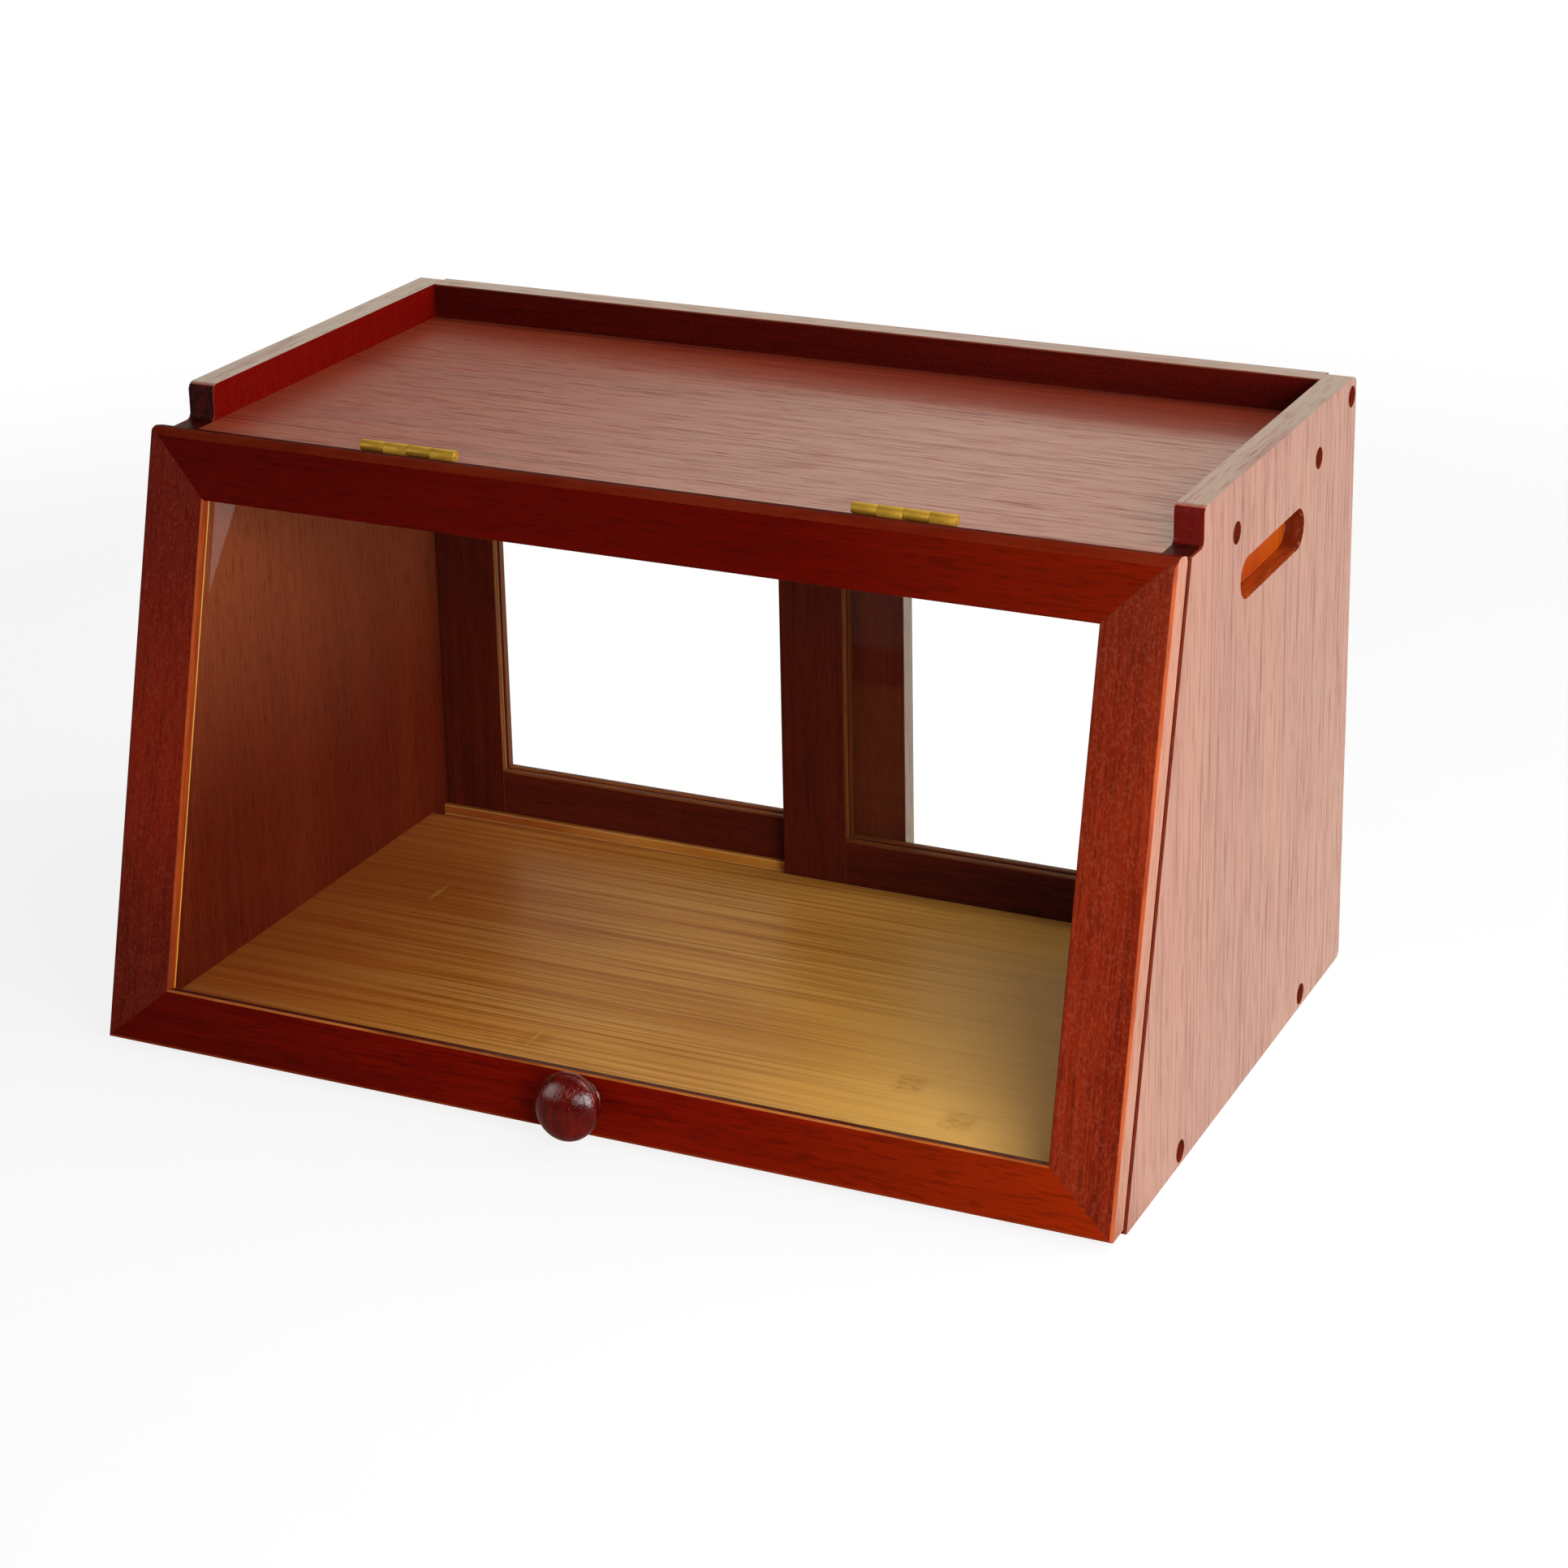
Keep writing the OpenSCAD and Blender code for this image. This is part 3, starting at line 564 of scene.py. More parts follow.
# One row for each wooden piece: grain, where in the log it was cut, its tone and its easing
woodRows = {
    "left_side_panel": ("up", (0.31, 0.12, 0.7), panelTone, "free"),
    "right_side_panel": ("up", (0.11, 0.45, 0.2), panelTone, "free"),
    "top_board": ("across", (0.22, 0.61, 0.4), boardTone, "free"),
    "back_rail": ("across", (0.52, 0.33, 0.1), backTone, "free"),
    "flap_top_rail": ("slopeAcross", (0.15, 0.85, 0.3), topTone, "flap"),
    "flap_bottom_rail": ("slopeAcross", (0.65, 0.25, 0.5), lowTone, "flap"),
    "flap_left_stile": ("slopeUp", (0.75, 0.15, 0.9), leftTone, "flap"),
    "flap_right_stile": ("slopeUp", (0.05, 0.95, 0.6), rightTone, "flap"),
}
for side, shift in (("left", 0.27), ("right", 0.58)):
    for part, grain in (("top_rail", "across"), ("bottom_rail", "across"),
                        ("left_stile", "up"), ("right_stile", "up")):
        start = (shift, shift * 0.6 + len(part) * 0.11, shift * 1.3 + len(part) * 0.07)
        woodRows[f"{side}_slider_{part}"] = (grain, start, innerTone, "slider")

boreSpots = [(195 * mm, y * mm, z * mm)
             for y, z in ((-50, 5), (82, 5), (-3, 211), (87, 211), (125, 223.25))]
seam = seamWood("seam", seamLook)
gripWall = cutWood("gripWall", gripLook)
gripFloor = stainedWood("gripFloor", "up", (0.2, 0.5, 0.9), gripFloorLook)
boreWall = cutWood("boreWall", dict(gripLook, pale="82280c", dark="481005", fleck="b85c20",
                                    rear="70200a", rim=(188 * mm, 185 * mm)))
# Where the finishes of a side panel change: Y and Z that hold the handle recess, how far out its
# floor and rim lie, a bore's reach, the inner wall, the rail's foot and top, the step's end, and
# the normals from which a face looks forward, up or just off level
panelMarks = {"y": (1 * mm, 72 * mm), "z": (183 * mm, 200 * mm), "floor": 189 * mm,
              "rim": 194.9 * mm, "bore": 4.2 * mm, "wall": 184.6 * mm, "railFoot": 214 * mm,
              "railTop": 229 * mm, "stepEnd": -36 * mm, "forward": -0.6, "up": 0.9, "tilted": 0.2}
endWood = endGrain("railEnd", endLook)
# the rail tops' paler base is a painted reflection of the backdrop
railTop = stainedWood("railTop", "backward", (0.4, 0.2, 0.6), railTopTone)
backRailTop = stainedWood("backRailTop", "across", (0.8, 0.3, 0.5), railTopTone)


def dressPanel(piece):
    # handle recess, bores, rail end, rail top, front edge and inner wall of a side panel
    marks = panelMarks
    for face in piece.data.polygons:
        if face.material_index:
            continue
        middle, way, out = face.center, face.normal, abs(face.center.x)
        inGrip = all(low < value < high for value, (low, high)
                     in ((middle.y, marks["y"]), (middle.z, marks["z"])))
        if inGrip and marks["wall"] < out < marks["rim"]:
            face.material_index = 8 if out < marks["floor"] else 3
        elif any((Vector(spot).yz - middle.yz).length < marks["bore"] for spot in boreSpots):
            face.material_index = 4
        elif way.y < marks["forward"] and middle.z > marks["railFoot"]:
            face.material_index = 6
        elif way.z > marks["up"] and middle.z > marks["railTop"]:
            face.material_index = 7
        elif way.y < marks["forward"] or way.z > marks["tilted"] and middle.y < marks["stepEnd"]:
            face.material_index = 9
        elif out < marks["wall"]:
            face.material_index = 5


# How squarely a face looks into its frame's opening, or away, to count as an arris or an edge
frameMarks = {"arris": 0.25, "edge": 0.95}


def dressFrame(piece, name, frameName):
    # the edges that face a frame's opening show the bare core, the outer ones a thicker lacquer, and
    # the outer rounds a paler brow that is partly a worn edge, partly a painted highlight
    low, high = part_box(name)
    frameLow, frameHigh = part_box(frameName + "_pane")
    inward = (Vector(frameLow) + Vector(frameHigh) - Vector(low) - Vector(high)).normalized()
    for face in piece.data.polygons:
        facing = face.normal.dot(inward)
        if (face.material_index == 2 or abs(facing) < frameMarks["arris"]
                or touching(name, face.center, easing["reach"])):
            continue
        square = abs(facing) > frameMarks["edge"]
        if facing > 0:
            face.material_index = 3 if square else 4
        else:
            face.material_index = 5 if square else 6


slopeShift = slope["foot"] * math.cos(slope["angle"]) + slope["front"]
flapReveal = {"turn": grainTurn["slopeUp"], "front": slopeShift, "pane": 4.3 * mm,
              "core": "b0480f", "dark": "86300a", "bead": "eeb050", "arris": "b85626"}
sliderReveal = {"turn": grainTurn["up"], "front": 110.7 * mm, "pane": 3.5 * mm,
                "core": "8a4c1e", "dark": "5c2c0e", "bead": "d09a4c", "arris": "8c4c1e"}
reveals = {
    "flap": flapReveal,
    # the sill, the bottom rail's inner edge, is painted much darker than the flap's other inner edges:
    # painted shadow behind its front arris
    "flap_sill": dict(flapReveal, core="5e1a0a", dark="3c0c04", bead="7a3416", arris="d8823e"),
    "left_slider": sliderReveal,
    "right_slider": dict(sliderReveal, front=98.6 * mm),
}
revealFinish = {name: revealWood(name + "Reveal", look) for name, look in reveals.items()}
for name, (grain, shift, tone, kind) in woodRows.items():
    finishes = [stainedWood(name + "Wood", grain, shift, tone),
                stainedWood(name + "Edge", grain, shift, tone, wearAndHighlight=0.6), seam]
    frameName = next((key for key in reveals if name.startswith(key)), None)
    if frameName:
        edge = "flap_sill" if name == "flap_bottom_rail" else frameName
        bare = name.endswith(("left_stile", "bottom_rail"))
        arris = dict(tone, wearAndHighlight=reveals[edge]["arris"] if bare else tone["mid"])
        # the brow, the outer round of a frame piece, is painted paler: partly a worn edge, partly a
        # painted highlight along the arris
        brow = dict(tone, wearAndHighlight=tone.get("brow", tone["mid"]))
        flank = flankTone.get(name, flankTone[frameName])
        finishes += [revealFinish[edge],
                     stainedWood(name + "Arris", grain, shift, arris, wearAndHighlight=0.7),
                     stainedWood(name + "Flank", grain, shift, flank),
                     stainedWood(name + "Brow", grain, shift, brow, wearAndHighlight=0.8)]
        piece = easedCopy(name, finishes, kind)
        dressFrame(piece, name, frameName)
    elif name.endswith("side_panel"):
        # the front edge: painted shadow of the gap, with a painted lit strip at the outer rim
        foot = dict(shadedFrontTone, washesAndShading=[litFrontRim[name.split("_")[0]]])
        finishes += [gripWall, boreWall, stainedWood(name + "Wall", grain, shift, wallTone),
                     endWood, railTop, gripFloor, stainedWood(name + "Front", grain, shift, foot)]
        piece = easedCopy(name, finishes, kind, boreSpots)
        dressPanel(piece)
    else:
        finishes.append(backRailTop)
        piece = easedCopy(name, finishes, kind)
        for face in piece.data.polygons:
            if face.normal.z > panelMarks["up"] and face.center.z > panelMarks["railTop"]:
                face.material_index = 3
    handIn(piece, bodyOf[name], "stained_wood", name)
print("wood:", len(woodRows), "eased pieces")

floorBoard = easedCopy("floor_board", [bambooBoard("bambooFloor", bamboo),
                                       bambooBoard("bambooEdge", bamboo, wearAndHighlight=0.3), seam], "floor")
handIn(floorBoard, "carcass", "bamboo", "floor_board")
print("bamboo floor")

flapGlass = clearPane("flapGlass", paneMake["flap"])
sliderGlass = clearPane("sliderGlass", paneMake["slider"])
for name, glass in (("flap_pane", flapGlass), ("left_slider_pane", sliderGlass),
                    ("right_slider_pane", sliderGlass)):
    bm = cadCopy(name)
    roundEdges(bm, list(bm.edges), paneMake["ease"])
    bmesh.ops.recalc_face_normals(bm, faces=bm.faces)
    pane = fromBmesh(name + ".glass", bm, [glass])
    handIn(pane, bodyOf[name], "clear_pane", name)
print("three panes")


def lathe(name, profile, steps, stand, materials, smooth=40):
    # profile: (radius, height) from the axis back to the axis; stand carries +Z to the axis
    bm = bmesh.new()
    rings = []
    for radius, height in profile:
        if radius == 0:
            rings.append([bm.verts.new((0, 0, height))])
        else:
            rings.append([bm.verts.new((radius * math.cos(2 * math.pi * i / steps),
                                        radius * math.sin(2 * math.pi * i / steps), height))
                          for i in range(steps)])
    for low, high in zip(rings, rings[1:]):
        for i in range(steps):
            corners = [low[i % len(low)], low[(i + 1) % len(low)],
                       high[(i + 1) % len(high)], high[i % len(high)]]
            unique = list(dict.fromkeys(corners))
            if len(unique) > 2:
                bm.faces.new(unique)
    bmesh.ops.recalc_face_normals(bm, faces=bm.faces)
    bmesh.ops.transform(bm, matrix=stand, verts=bm.verts)
    made = fromBmesh(name, bm, materials)
    smoothBy(made.data, smooth)
    return made


def arc(centre, radius, start, end, count):
    # radius may be a pair, for an ellipse
    wide, tall = radius if isinstance(radius, tuple) else (radius, radius)
    turns = [math.radians(start + (end - start) * i / count) for i in range(count + 1)]
    return [(centre[0] + wide * math.cos(t), centre[1] + tall * math.sin(t)) for t in turns]


knob = {"head": 12 * mm, "length": 17.2 * mm, "brim": 11 * mm, "under": 4.5 * mm,
        "foot": 8 * mm, "footTall": 2.2 * mm, "footIn": 0.5 * mm, "cove": 0.45 * mm,
        "coveOut": 0.75 * mm, "ring": 6.75 * mm, "ringTall": 1.6 * mm, "ringUp": 3.2 * mm,
        "neck": 5.5 * mm, "throat": 0.7 * mm, "throatOut": 0.8 * mm, "throatDown": 0.1 * mm,
        "rise": 12 * mm, "bore": 2 * mm, "boreDeep": 9.5 * mm, "steps": 96}
halfFoot, halfRing = knob["footTall"] / 2, knob["ringTall"] / 2
outline = [(0, knob["boreDeep"]), (knob["bore"], knob["boreDeep"]), (knob["bore"], 0)]
outline += [(knob["foot"] - knob["footIn"], 0)]
outline += arc((knob["foot"] - halfFoot, halfFoot), halfFoot, -80, 90, 10)
outline += arc((knob["neck"] + knob["coveOut"], knob["footTall"] + knob["cove"]), knob["cove"],
               250, 180, 4)
outline += arc((knob["ring"] - halfRing, knob["ringUp"] + halfRing), halfRing, -85, 85, 10)
outline += arc((knob["neck"] + knob["throatOut"],
                knob["brim"] - knob["under"] - knob["throatDown"]), knob["throat"], 250, 130, 6)
outline += arc((0, knob["brim"]), (knob["head"], knob["under"]), -52, -3, 14)
outline += arc((0, knob["brim"]), (knob["head"], knob["length"] - knob["brim"]), 3, 88, 26)
outline += [(0, knob["length"])]
knobStand = (onSlope @ Matrix.Translation((0, slope["front"], knob["rise"]))
             @ Matrix.Rotation(quarter, 4, "X"))
turnedKnob = lathe("flap_knob.turned", outline, knob["steps"], knobStand,
                   [lacqueredWood("knobLacquer", lacquer)])
handIn(turnedKnob, "flap", "lacquered_wood", "flap_knob")
print("turned knob")

brassLook = {"dark": "bc9028", "bright": "c89c32", "edge": "e8cc74", "rough": 0.44,
             "metallic": 0.66, "brush": (40, 900, 900), "tarnish": (260, 260, 260),
             "scratch": (2200, 500, 2200), "relief": 0.08, "depth": 0.05 * mm}
steelLook = dict(brassLook, dark="6f6b66", bright="a8a49c", edge="d8d6d0", rough=0.3,
                 metallic=1.0, brush=(1200, 1200, 1200))
brass, steel = metal("brass", brassLook), metal("steel", steelLook)


def newTree(name, inputs):
    tree = bpy.data.node_groups.new(name, "GeometryNodeTree")
    tree.interface.new_socket("Geometry", in_out="INPUT", socket_type="NodeSocketGeometry")
    for label, kind in inputs:
        tree.interface.new_socket(label, in_out="INPUT", socket_type="NodeSocket" + kind)
    tree.interface.new_socket("Geometry", in_out="OUTPUT", socket_type="NodeSocketGeometry")
    return tree


class Bank(Bench):  # the same for a geometry tree
    def __init__(self, tree):
        self.tree = tree

    def given(self, label):
        return self.node("NodeGroupInput", output=label)

    def end(self, geometry):
        real = self.node("GeometryNodeRealizeInstances", {}, {"Geometry": geometry})
        dressed = self.node("GeometryNodeSetMaterial", {},
                            {"Geometry": real, "Material": self.given("Finish")})
        self.node("NodeGroupOutput", {}, {"Geometry": dressed})


def runTree(obj, tree, values, name):
    modifier = obj.modifiers.new("make", "NODES")
    modifier.node_group = tree
    for item in tree.interface.items_tree:
        if item.in_out == "INPUT" and item.name in values:
            modifier[item.identifier] = values[item.name]
    made = plain(obj, name)
    smoothBy(made.data)
    return made


# Hinge knuckles: one rolled length of sheet, repeated along the pin
rowTree = newTree("knuckleRow", [("Count", "Int"), ("Step", "Vector"), ("Finish", "Material")])
bank = Bank(rowTree)
line = bank.node("GeometryNodeMeshLine", {}, {"Count": bank.given("Count"),
                                              "Offset": bank.given("Step")})
bank.end(bank.node("GeometryNodeInstanceOnPoints", {},
                   {"Points": line, "Instance": bank.given("Geometry")}))

# Cross-head screws on points that carry the way each head looks
screwTree = newTree("crossScrews", [
    ("Head Top", "Float"), ("Head Base", "Float"), ("Head Tall", "Float"),
    ("Shank", "Float"), ("Shank Long", "Float"), ("Cross Wide", "Float"),
    ("Cross Long", "Float"), ("Cross Deep", "Float"), ("Seed", "Int"), ("Finish", "Material")])
bank = Bank(screwTree)
given = bank.given
head = bank.node("GeometryNodeMeshCone", {}, {
    "Vertices": 40, "Radius Top": given("Head Top"), "Radius Bottom": given("Head Base"),
    "Depth": given("Head Tall")})
head = bank.node("GeometryNodeTransform", {}, {
    "Geometry": head, "Translation": bank.vector(z=given("Head Tall") * -1)})
arm = bank.node("GeometryNodeMeshCube", {}, {
    "Size": bank.vector(given("Cross Long"), given("Cross Wide"), given("Cross Deep") * 2)})
arms = [bank.node("GeometryNodeTransform", {}, {"Geometry": arm, "Rotation": (0, 0, turned)})
        for turned in (0, quarter)]
cut = bank.node("GeometryNodeMeshBoolean", {"operation": "DIFFERENCE"},
                {"Mesh 1": head, "Mesh 2": arms})
shank = bank.node("GeometryNodeMeshCylinder", {}, {
    "Vertices": 28, "Radius": given("Shank"), "Depth": given("Shank Long")})
drop = given("Head Tall") + given("Shank Long") * 0.5
shank = bank.node("GeometryNodeTransform", {}, {
    "Geometry": shank, "Translation": bank.vector(z=drop * -1)})
joined = bank.node("GeometryNodeJoinGeometry", {}, {0: [shank, cut]})
looks = bank.node("GeometryNodeInputNamedAttribute", {"data_type": "FLOAT_VECTOR"}, {"Name": "looks"})
aim = bank.node("FunctionNodeAlignRotationToVector", {"axis": "Z"}, {"Vector": looks})
luck = bank.node("FunctionNodeRandomValue", {"data_type": "FLOAT"},
                 {2: 0.0, 3: math.pi, "Seed": given("Seed")}, output=1)
spin = bank.node("FunctionNodeAxisAngleToRotation", {}, {"Axis": (0, 0, 1), "Angle": luck})
aim = bank.node("FunctionNodeRotateRotation", {"rotation_space": "LOCAL"}, {0: aim, 1: spin})
bank.end(bank.node("GeometryNodeInstanceOnPoints", {}, {
    "Points": given("Geometry"), "Instance": joined, "Rotation": aim}))


def screws(name, spots, sizes, finish):
    # spots: (place of the head's face, the way it looks)
    mesh = bpy.data.meshes.new(name + ".points")
    mesh.from_pydata([place for place, way in spots], [], [])
    ways = mesh.attributes.new("looks", "FLOAT_VECTOR", "POINT")
    for i, (place, way) in enumerate(spots):
        ways.data[i].vector = way
    return runTree(newObject(name + ".points", mesh), screwTree, dict(sizes, Finish=finish), name)


panelScrew = {"Head Top": 2.7 * mm, "Head Base": 3.5 * mm, "Head Tall": 2.5 * mm,
              "Shank": 1.75 * mm, "Shank Long": 28 * mm, "Cross Wide": 1 * mm,
              "Cross Long": 3.6 * mm, "Cross Deep": 1.2 * mm, "Seed": 5}
boreFloor = 191.5 * mm
spots = [(Vector((side * boreFloor, y, z)), Vector((side, 0, 0)))
         for side in (-1, 1) for x, y, z in boreSpots]
handIn(screws("panel_screws.cross", spots, panelScrew, steel), "carcass", "steel",
       "left_panel_screws", "right_panel_screws")

slopeOnly = onSlope.to_3x3()
hinge = {"centres": (-95 * mm, 95 * mm), "length": 38 * mm, "knuckles": 4, "radius": 2 * mm,
         "play": 0.1 * mm, "sheet": 1 * mm, "pinY": -2 * mm, "pinUp": 225.63 * mm,
         "low": 213.13 * mm, "high": 223.4 * mm, "back": -4 * mm, "rollEnd": 322,
         "screwUp": 217.46 * mm, "screwIn": 12 * mm, "hole": 1.95 * mm, "drill": 4 * mm,
         "ease": 0.12 * mm, "corner": 1 * mm, "slack": 0.02 * mm, "overlap": 0.05 * mm,
         "rollSteps": 44, "rim": math.radians(60), "pin": 0.98 * mm, "pinTip": 0.75 * mm,
         "pinEase": 0.2 * mm, "pinSteps": 32, "holeSteps": 40}
hingeScrew = {"Head Top": 1.88 * mm, "Head Base": 1.02 * mm, "Head Tall": 0.9 * mm,
              "Shank": 1 * mm, "Shank Long": 7.1 * mm, "Cross Wide": 0.6 * mm,
              "Cross Long": 2.2 * mm, "Cross Deep": 0.6 * mm, "Seed": 9}
for body, away, name in (("carcass", -1, "hinge_board_screws"), ("flap", 1, "hinge_flap_screws")):
    face = -hinge["sheet"] if body == "carcass" else hinge["back"] + hinge["sheet"]
    spots = [(onSlope @ Vector((x + end * hinge["screwIn"], face, hinge["screwUp"])),
              slopeOnly @ Vector((0, away, 0))) for x in hinge["centres"] for end in (-1, 1)]
    handIn(screws(name + ".cross", spots, hingeScrew, brass), body, "brass", name)

knobScrew = {"Head Top": 3.7 * mm, "Head Base": 4 * mm, "Head Tall": 3.7 * mm, "Shank": 1.99 * mm,
             "Shank Long": 19 * mm, "Cross Wide": 1 * mm, "Cross Long": 4 * mm,
             "Cross Deep": 1.2 * mm, "Seed": 3}
spots = [(onSlope @ Vector((0, hinge["back"] + knobScrew["Head Tall"], knob["rise"])),
          slopeOnly @ Vector((0, 1, 0)))]
handIn(screws("knob_screw.cross", spots, knobScrew, steel), "flap", "steel", "knob_screw")
print("cross-head screws")


def rolledKnuckle(side):
    # a strip of sheet that comes up the leaf and rolls over the pin to a visible end
    middle, steps = (hinge["pinY"], hinge["pinUp"]), hinge["rollSteps"]
    roll = arc(middle, hinge["radius"], 0, hinge["rollEnd"], steps)
    inner = arc(middle, hinge["radius"] - hinge["sheet"] + hinge["slack"], hinge["rollEnd"], 0, steps)
    loop = [(0, hinge["high"])] + roll + inner + [(-hinge["sheet"], hinge["high"])]
    if side < 0:
        loop = [(2 * hinge["pinY"] - y, z) for y, z in loop]
    long = hinge["length"] / hinge["knuckles"] - hinge["play"]
    bm = bmesh.new()
    caps = [[bm.verts.new((x, y, z)) for y, z in loop] for x in (0, long)]
    bm.faces.new(caps[0])
    bm.faces.new(caps[1][::-1])
    for i in range(len(loop)):
        k = (i + 1) % len(loop)
        bm.faces.new((caps[0][i], caps[1][i], caps[1][k], caps[0][k]))
    bmesh.ops.recalc_face_normals(bm, faces=bm.faces)
    rims = [e for e in bm.edges if e.calc_face_angle(0) > hinge["rim"]]
    roundEdges(bm, rims, hinge["ease"])
    return bm


def leafPlate(x):
    # the flat of a leaf with its two countersunk holes
    bm = bmesh.new()
    bmesh.ops.create_cube(bm, size=1)
    size = (hinge["length"], hinge["sheet"], hinge["high"] + hinge["overlap"] - hinge["low"])
    bmesh.ops.scale(bm, vec=size, verts=bm.verts)
    sides = [e for e in bm.edges if abs(e.verts[0].co.y - e.verts[1].co.y) > hinge["sheet"] / 2
             and min(v.co.z for v in e.verts) < 0]
    roundEdges(bm, sides, hinge["corner"], 5)
    bmesh.ops.translate(bm, vec=(x, 0, (hinge["high"] + hinge["low"]) / 2), verts=bm.verts)
    return bm


for label, x in zip(("left", "right"), hinge["centres"]):
    for body, side, first, name in (("carcass", 1, 0, "board_leaf"), ("flap", -1, 1, "flap_leaf")):
        full = f"{label}_hinge_{name}"
        step = hinge["length"] / hinge["knuckles"]
        seed = fromBmesh(full + ".seed", rolledKnuckle(side))
        start = x - hinge["length"] / 2 + first * step + hinge["play"] / 2
        row = runTree(seed, rowTree, {"Count": 2, "Step": (2 * step, 0, 0), "Finish": brass},
                      full + ".row")
        row.data.transform(Matrix.Translation((start, 0, 0)))
        plate = fromBmesh(full + ".plate", leafPlate(x))
        middle = -hinge["sheet"] / 2 if side > 0 else hinge["back"] + hinge["sheet"] / 2
        plate.data.transform(Matrix.Translation((0, middle, 0)))
        drill = bmesh.new()
        for end in (-1, 1):
            spot = Matrix.Translation((x + end * hinge["screwIn"], middle, hinge["screwUp"]))
            bmesh.ops.create_cone(drill, cap_ends=True, segments=hinge["holeSteps"],
                                  radius1=hinge["hole"], radius2=hinge["hole"], depth=hinge["drill"],
                                  matrix=spot @ Matrix.Rotation(quarter, 4, "X"))
        drill = fromBmesh(full + ".drill", drill)
        hole = plate.modifiers.new("holes", "BOOLEAN")
        hole.operation, hole.object, hole.solver = "DIFFERENCE", drill, "EXACT"
        ease = plate.modifiers.new("ease", "BEVEL")
        ease.width, ease.segments, ease.limit_method = hinge["ease"], 2, "ANGLE"
        plate = plain(plate, full + ".plate")
        bpy.data.objects.remove(drill)
        bm = bmesh.new()
        bm.from_mesh(plate.data)
        bm.from_mesh(row.data)
        leaf = fromBmesh(full + ".leaf", bm, [brass])
        leaf.data.transform(onSlope)
        smoothBy(leaf.data)
        for spent in (plate, row):
            bpy.data.objects.remove(spent)
        handIn(leaf, body, "brass", full)
    pinStand = (onSlope @ Matrix.Translation((x - hinge["length"] / 2, hinge["pinY"], hinge["pinUp"]))
                @ Matrix.Rotation(quarter, 4, "Y"))
    pinOutline = [(0, 0), (hinge["pinTip"], 0), (hinge["pin"], hinge["pinEase"]),
                  (hinge["pin"], hinge["length"] - hinge["pinEase"]),
                  (hinge["pinTip"], hinge["length"]), (0, hinge["length"])]
    pin = lathe(f"{label}_hinge_pin.turned", pinOutline, hinge["pinSteps"], pinStand, [brass])
    handIn(pin, "flap", "brass", f"{label}_hinge_pin")
print("brass hinges")

# The studio: pale floor that fades out, white behind, softboxes
studio = {"floor": 1.1, "steps": 96, "drop": 0.3 * mm, "fade": (0.6, 1.0), "dark": "f4f3f1",
          "pale": "faf9f8", "speck": (40, 40, 40), "floorGlow": 0.85, "frontGlow": 0.1, "sheen": 0.95,
          "beside": (0.19, 0.26), "behind": (-0.14, -0.06), "warm": "fff6e2",
          "ambient": 0.2, "front": 0.02, "backdrop": 1.0, "horizon": (-0.15, 0.35),
          "leftEnd": (-0.68, -0.58), "leftGlow": 0.04, "aim": (0, 0, 0.1),
          "paneGain": 0.1}  # what the panes take from the backdrop


def rayKinds(bench):
    # straight or clear-glass sight, and mirror sight, both before any scattering; a ray that
    # leaves a pane after a reflection inside it counts as mirror sight
    path = {kind: bench.node("ShaderNodeLightPath", output=kind) for kind in (
        "Is Camera Ray", "Is Glossy Ray", "Is Transmission Ray", "Diffuse Depth", "Glossy Depth")}
    first = path["Diffuse Depth"].calc("LESS_THAN", 0.5)
    mirrored = path["Glossy Depth"].calc("GREATER_THAN", 0.5)
    through = path["Is Transmission Ray"]
    seen = path["Is Camera Ray"].calc("MAXIMUM", through * (1 - mirrored))
    glossy = (path["Is Glossy Ray"] * (1 - through)).calc("MAXIMUM", through * mirrored)
    return seen * first, glossy * first, through * (1 - mirrored) * first


def floorFinish():
    bench = Bench(bpy.data.materials.new("paleFloor"))
    spot = bench.place()
    away = bench.node("ShaderNodeVectorMath", {"operation": "LENGTH"}, {0: spot}, output=1)
    speck = bench.noise(spot, studio["speck"], 3)
    matte = bench.node("ShaderNodeBsdfPrincipled", {}, {
        "Base Color": bench.blend(speck, studio["dark"], studio["pale"]),
        "Roughness": 0.8,
        "Specular IOR Level": 0.2,
    })
    clear, glossy, through = rayKinds(bench)
    warm = bench.blend(clear, studio["warm"], "ffffff")
    beside = bench.axis(spot, "X").ramp(*studio["beside"], studio["frontGlow"], 1)
    behind = bench.axis(spot, "Y").ramp(*studio["behind"], studio["frontGlow"], 1)
    level = beside.calc("MAXIMUM", behind)  # the gloss sees no floor in front of the box
    glow = bench.node("ShaderNodeEmission", {}, {
        "Color": warm,
        "Strength": 1 + through * studio["paneGain"] + glossy * (level - 1),
    })
    straight = clear * (studio["floorGlow"] + through * (1 - studio["floorGlow"]))
    share = straight.calc("MAXIMUM", glossy * studio["sheen"])
    lit = bench.node("ShaderNodeMixShader", {}, {0: share, 1: matte, 2: glow})
    gone = bench.node("ShaderNodeBsdfTransparent")
    fade = away.ramp(*studio["fade"])
    return bench.finish(bench.node("ShaderNodeMixShader", {}, {0: fade, 1: lit, 2: gone}))


bm = bmesh.new()
bmesh.ops.create_circle(bm, cap_ends=True, segments=studio["steps"], radius=studio["floor"])
floor = fromBmesh("studioFloor", bm, [floorFinish()])
floor.data.transform(Matrix.Translation((0, 0, -studio["drop"])))

world = bpy.data.worlds.new("studio")
scene.world = world
bench = Bench(world)
way = bench.node("ShaderNodeTexCoord", output="Generated")
toBack, toSide = bench.axis(way, "Y"), bench.axis(way, "X")
behind = toBack.ramp(*studio["horizon"], studio["front"], studio["backdrop"])
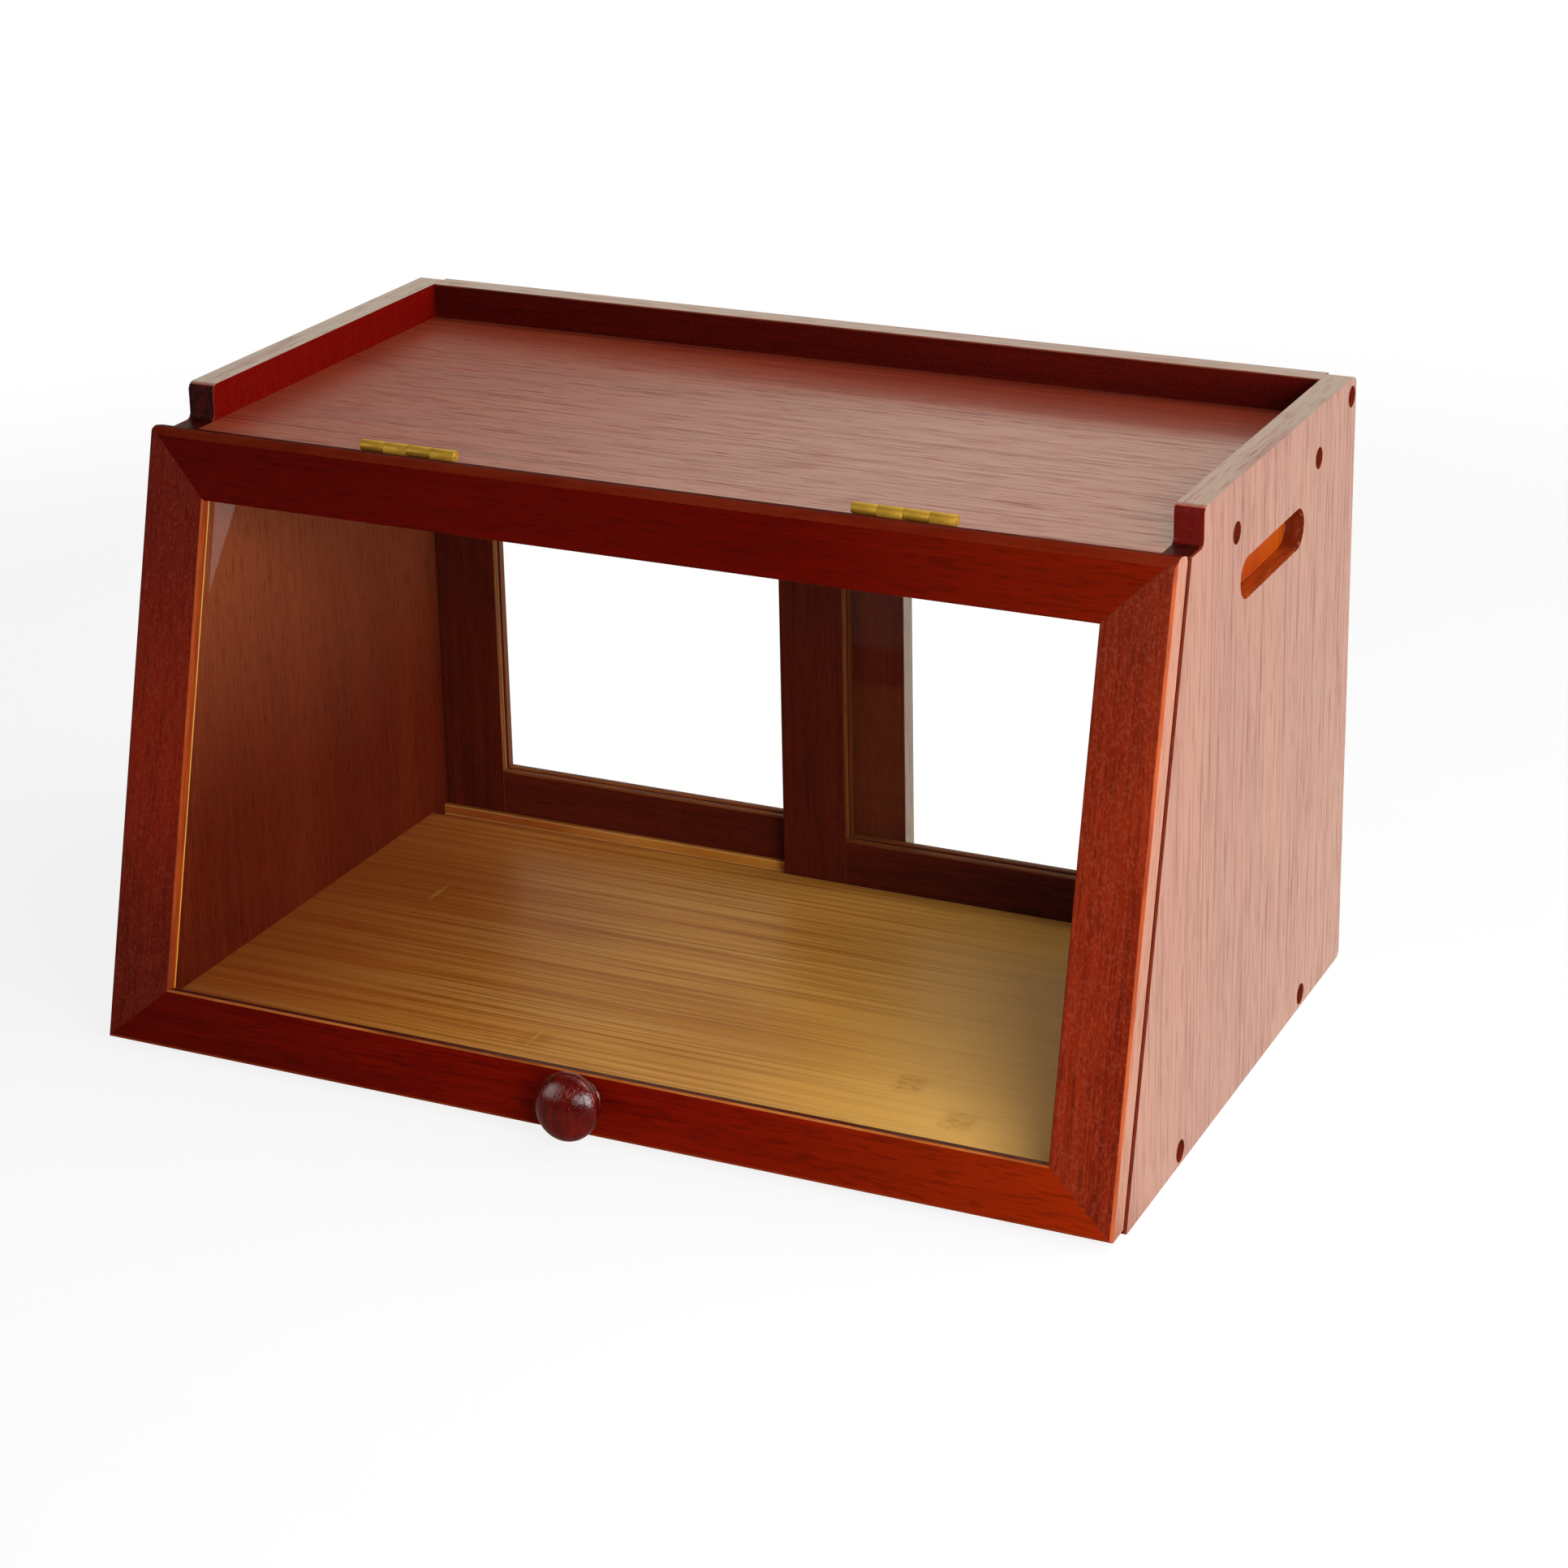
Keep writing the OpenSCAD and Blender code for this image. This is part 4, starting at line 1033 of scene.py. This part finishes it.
# the backdrop ends on the left
mirror = behind * toSide.ramp(*studio["leftEnd"], studio["leftGlow"], 1)
clear, glossy, through = rayKinds(bench)
level = studio["ambient"] + glossy * (mirror - studio["ambient"])
level = level + clear * (1 - level) + through * studio["paneGain"]
tint = bench.blend(glossy * (1 - clear), "ffffff", studio["warm"])
bench.finish(bench.node("ShaderNodeBackground", {}, {"Color": tint, "Strength": level}),
             "ShaderNodeOutputWorld")

lamps = {
    "key": {"at": (0.56, -0.54, 0.38), "power": 4.6, "size": 0.35},
    "fill": {"at": (-1.1, -1.2, 0.9), "power": 0.9, "size": 0.8},
    "top": {"at": (0.6, 0.3, 1.2), "power": 7.0, "size": 0.8},
    "right": {"at": (1.3, 0.35, 0.6), "power": 9.0, "size": 0.8},
    "glintRight": {"at": (0.25, -0.9, 0.41), "power": 1.6, "size": 0.26, "glint": True},
    "glintLeft": {"at": (-0.72, -0.57, 0.35), "power": 1.7, "size": 0.42, "glint": True},
}
for name, lamp in lamps.items():
    light = bpy.data.lights.new(name, "AREA")
    light.energy, light.size, light.shape = lamp["power"], lamp["size"], "SQUARE"
    obj = newObject(name, light)
    obj.visible_camera = obj.visible_transmission = False
    obj.visible_diffuse = not lamp.get("glint", False)  # a glint lamp only shows in the gloss
    spot = Vector(lamp["at"])
    obj.location = spot
    obj.rotation_euler = (Vector(studio["aim"]) - spot).to_track_quat("-Z", "Y").to_euler()

view = {"eye": (557.341 * mm, -1096.559 * mm, 594.995 * mm), "turn": 24.0229, "down": 18.3794,
        "roll": -0.5976, "lens": 83.658, "film": 36, "aside": -0.06936, "lift": -0.16356,
        "near": 0.05, "far": 20}
camera = newObject("camera", bpy.data.cameras.new("camera"))
camera.data.lens, camera.data.sensor_width = view["lens"], view["film"]
camera.data.shift_x, camera.data.shift_y = view["aside"], view["lift"]
camera.data.clip_start, camera.data.clip_end = view["near"], view["far"]
camera.matrix_world = (Matrix.Translation(view["eye"])
                       @ Matrix.Rotation(math.radians(view["turn"]), 4, "Z")
                       @ Matrix.Rotation(math.radians(90 - view["down"]), 4, "X")
                       @ Matrix.Rotation(math.radians(view["roll"]), 4, "Z"))
scene.camera = camera
scene.view_settings.view_transform = "Standard"
print("studio: floor, backdrop,", len(lamps), "lamps, camera")
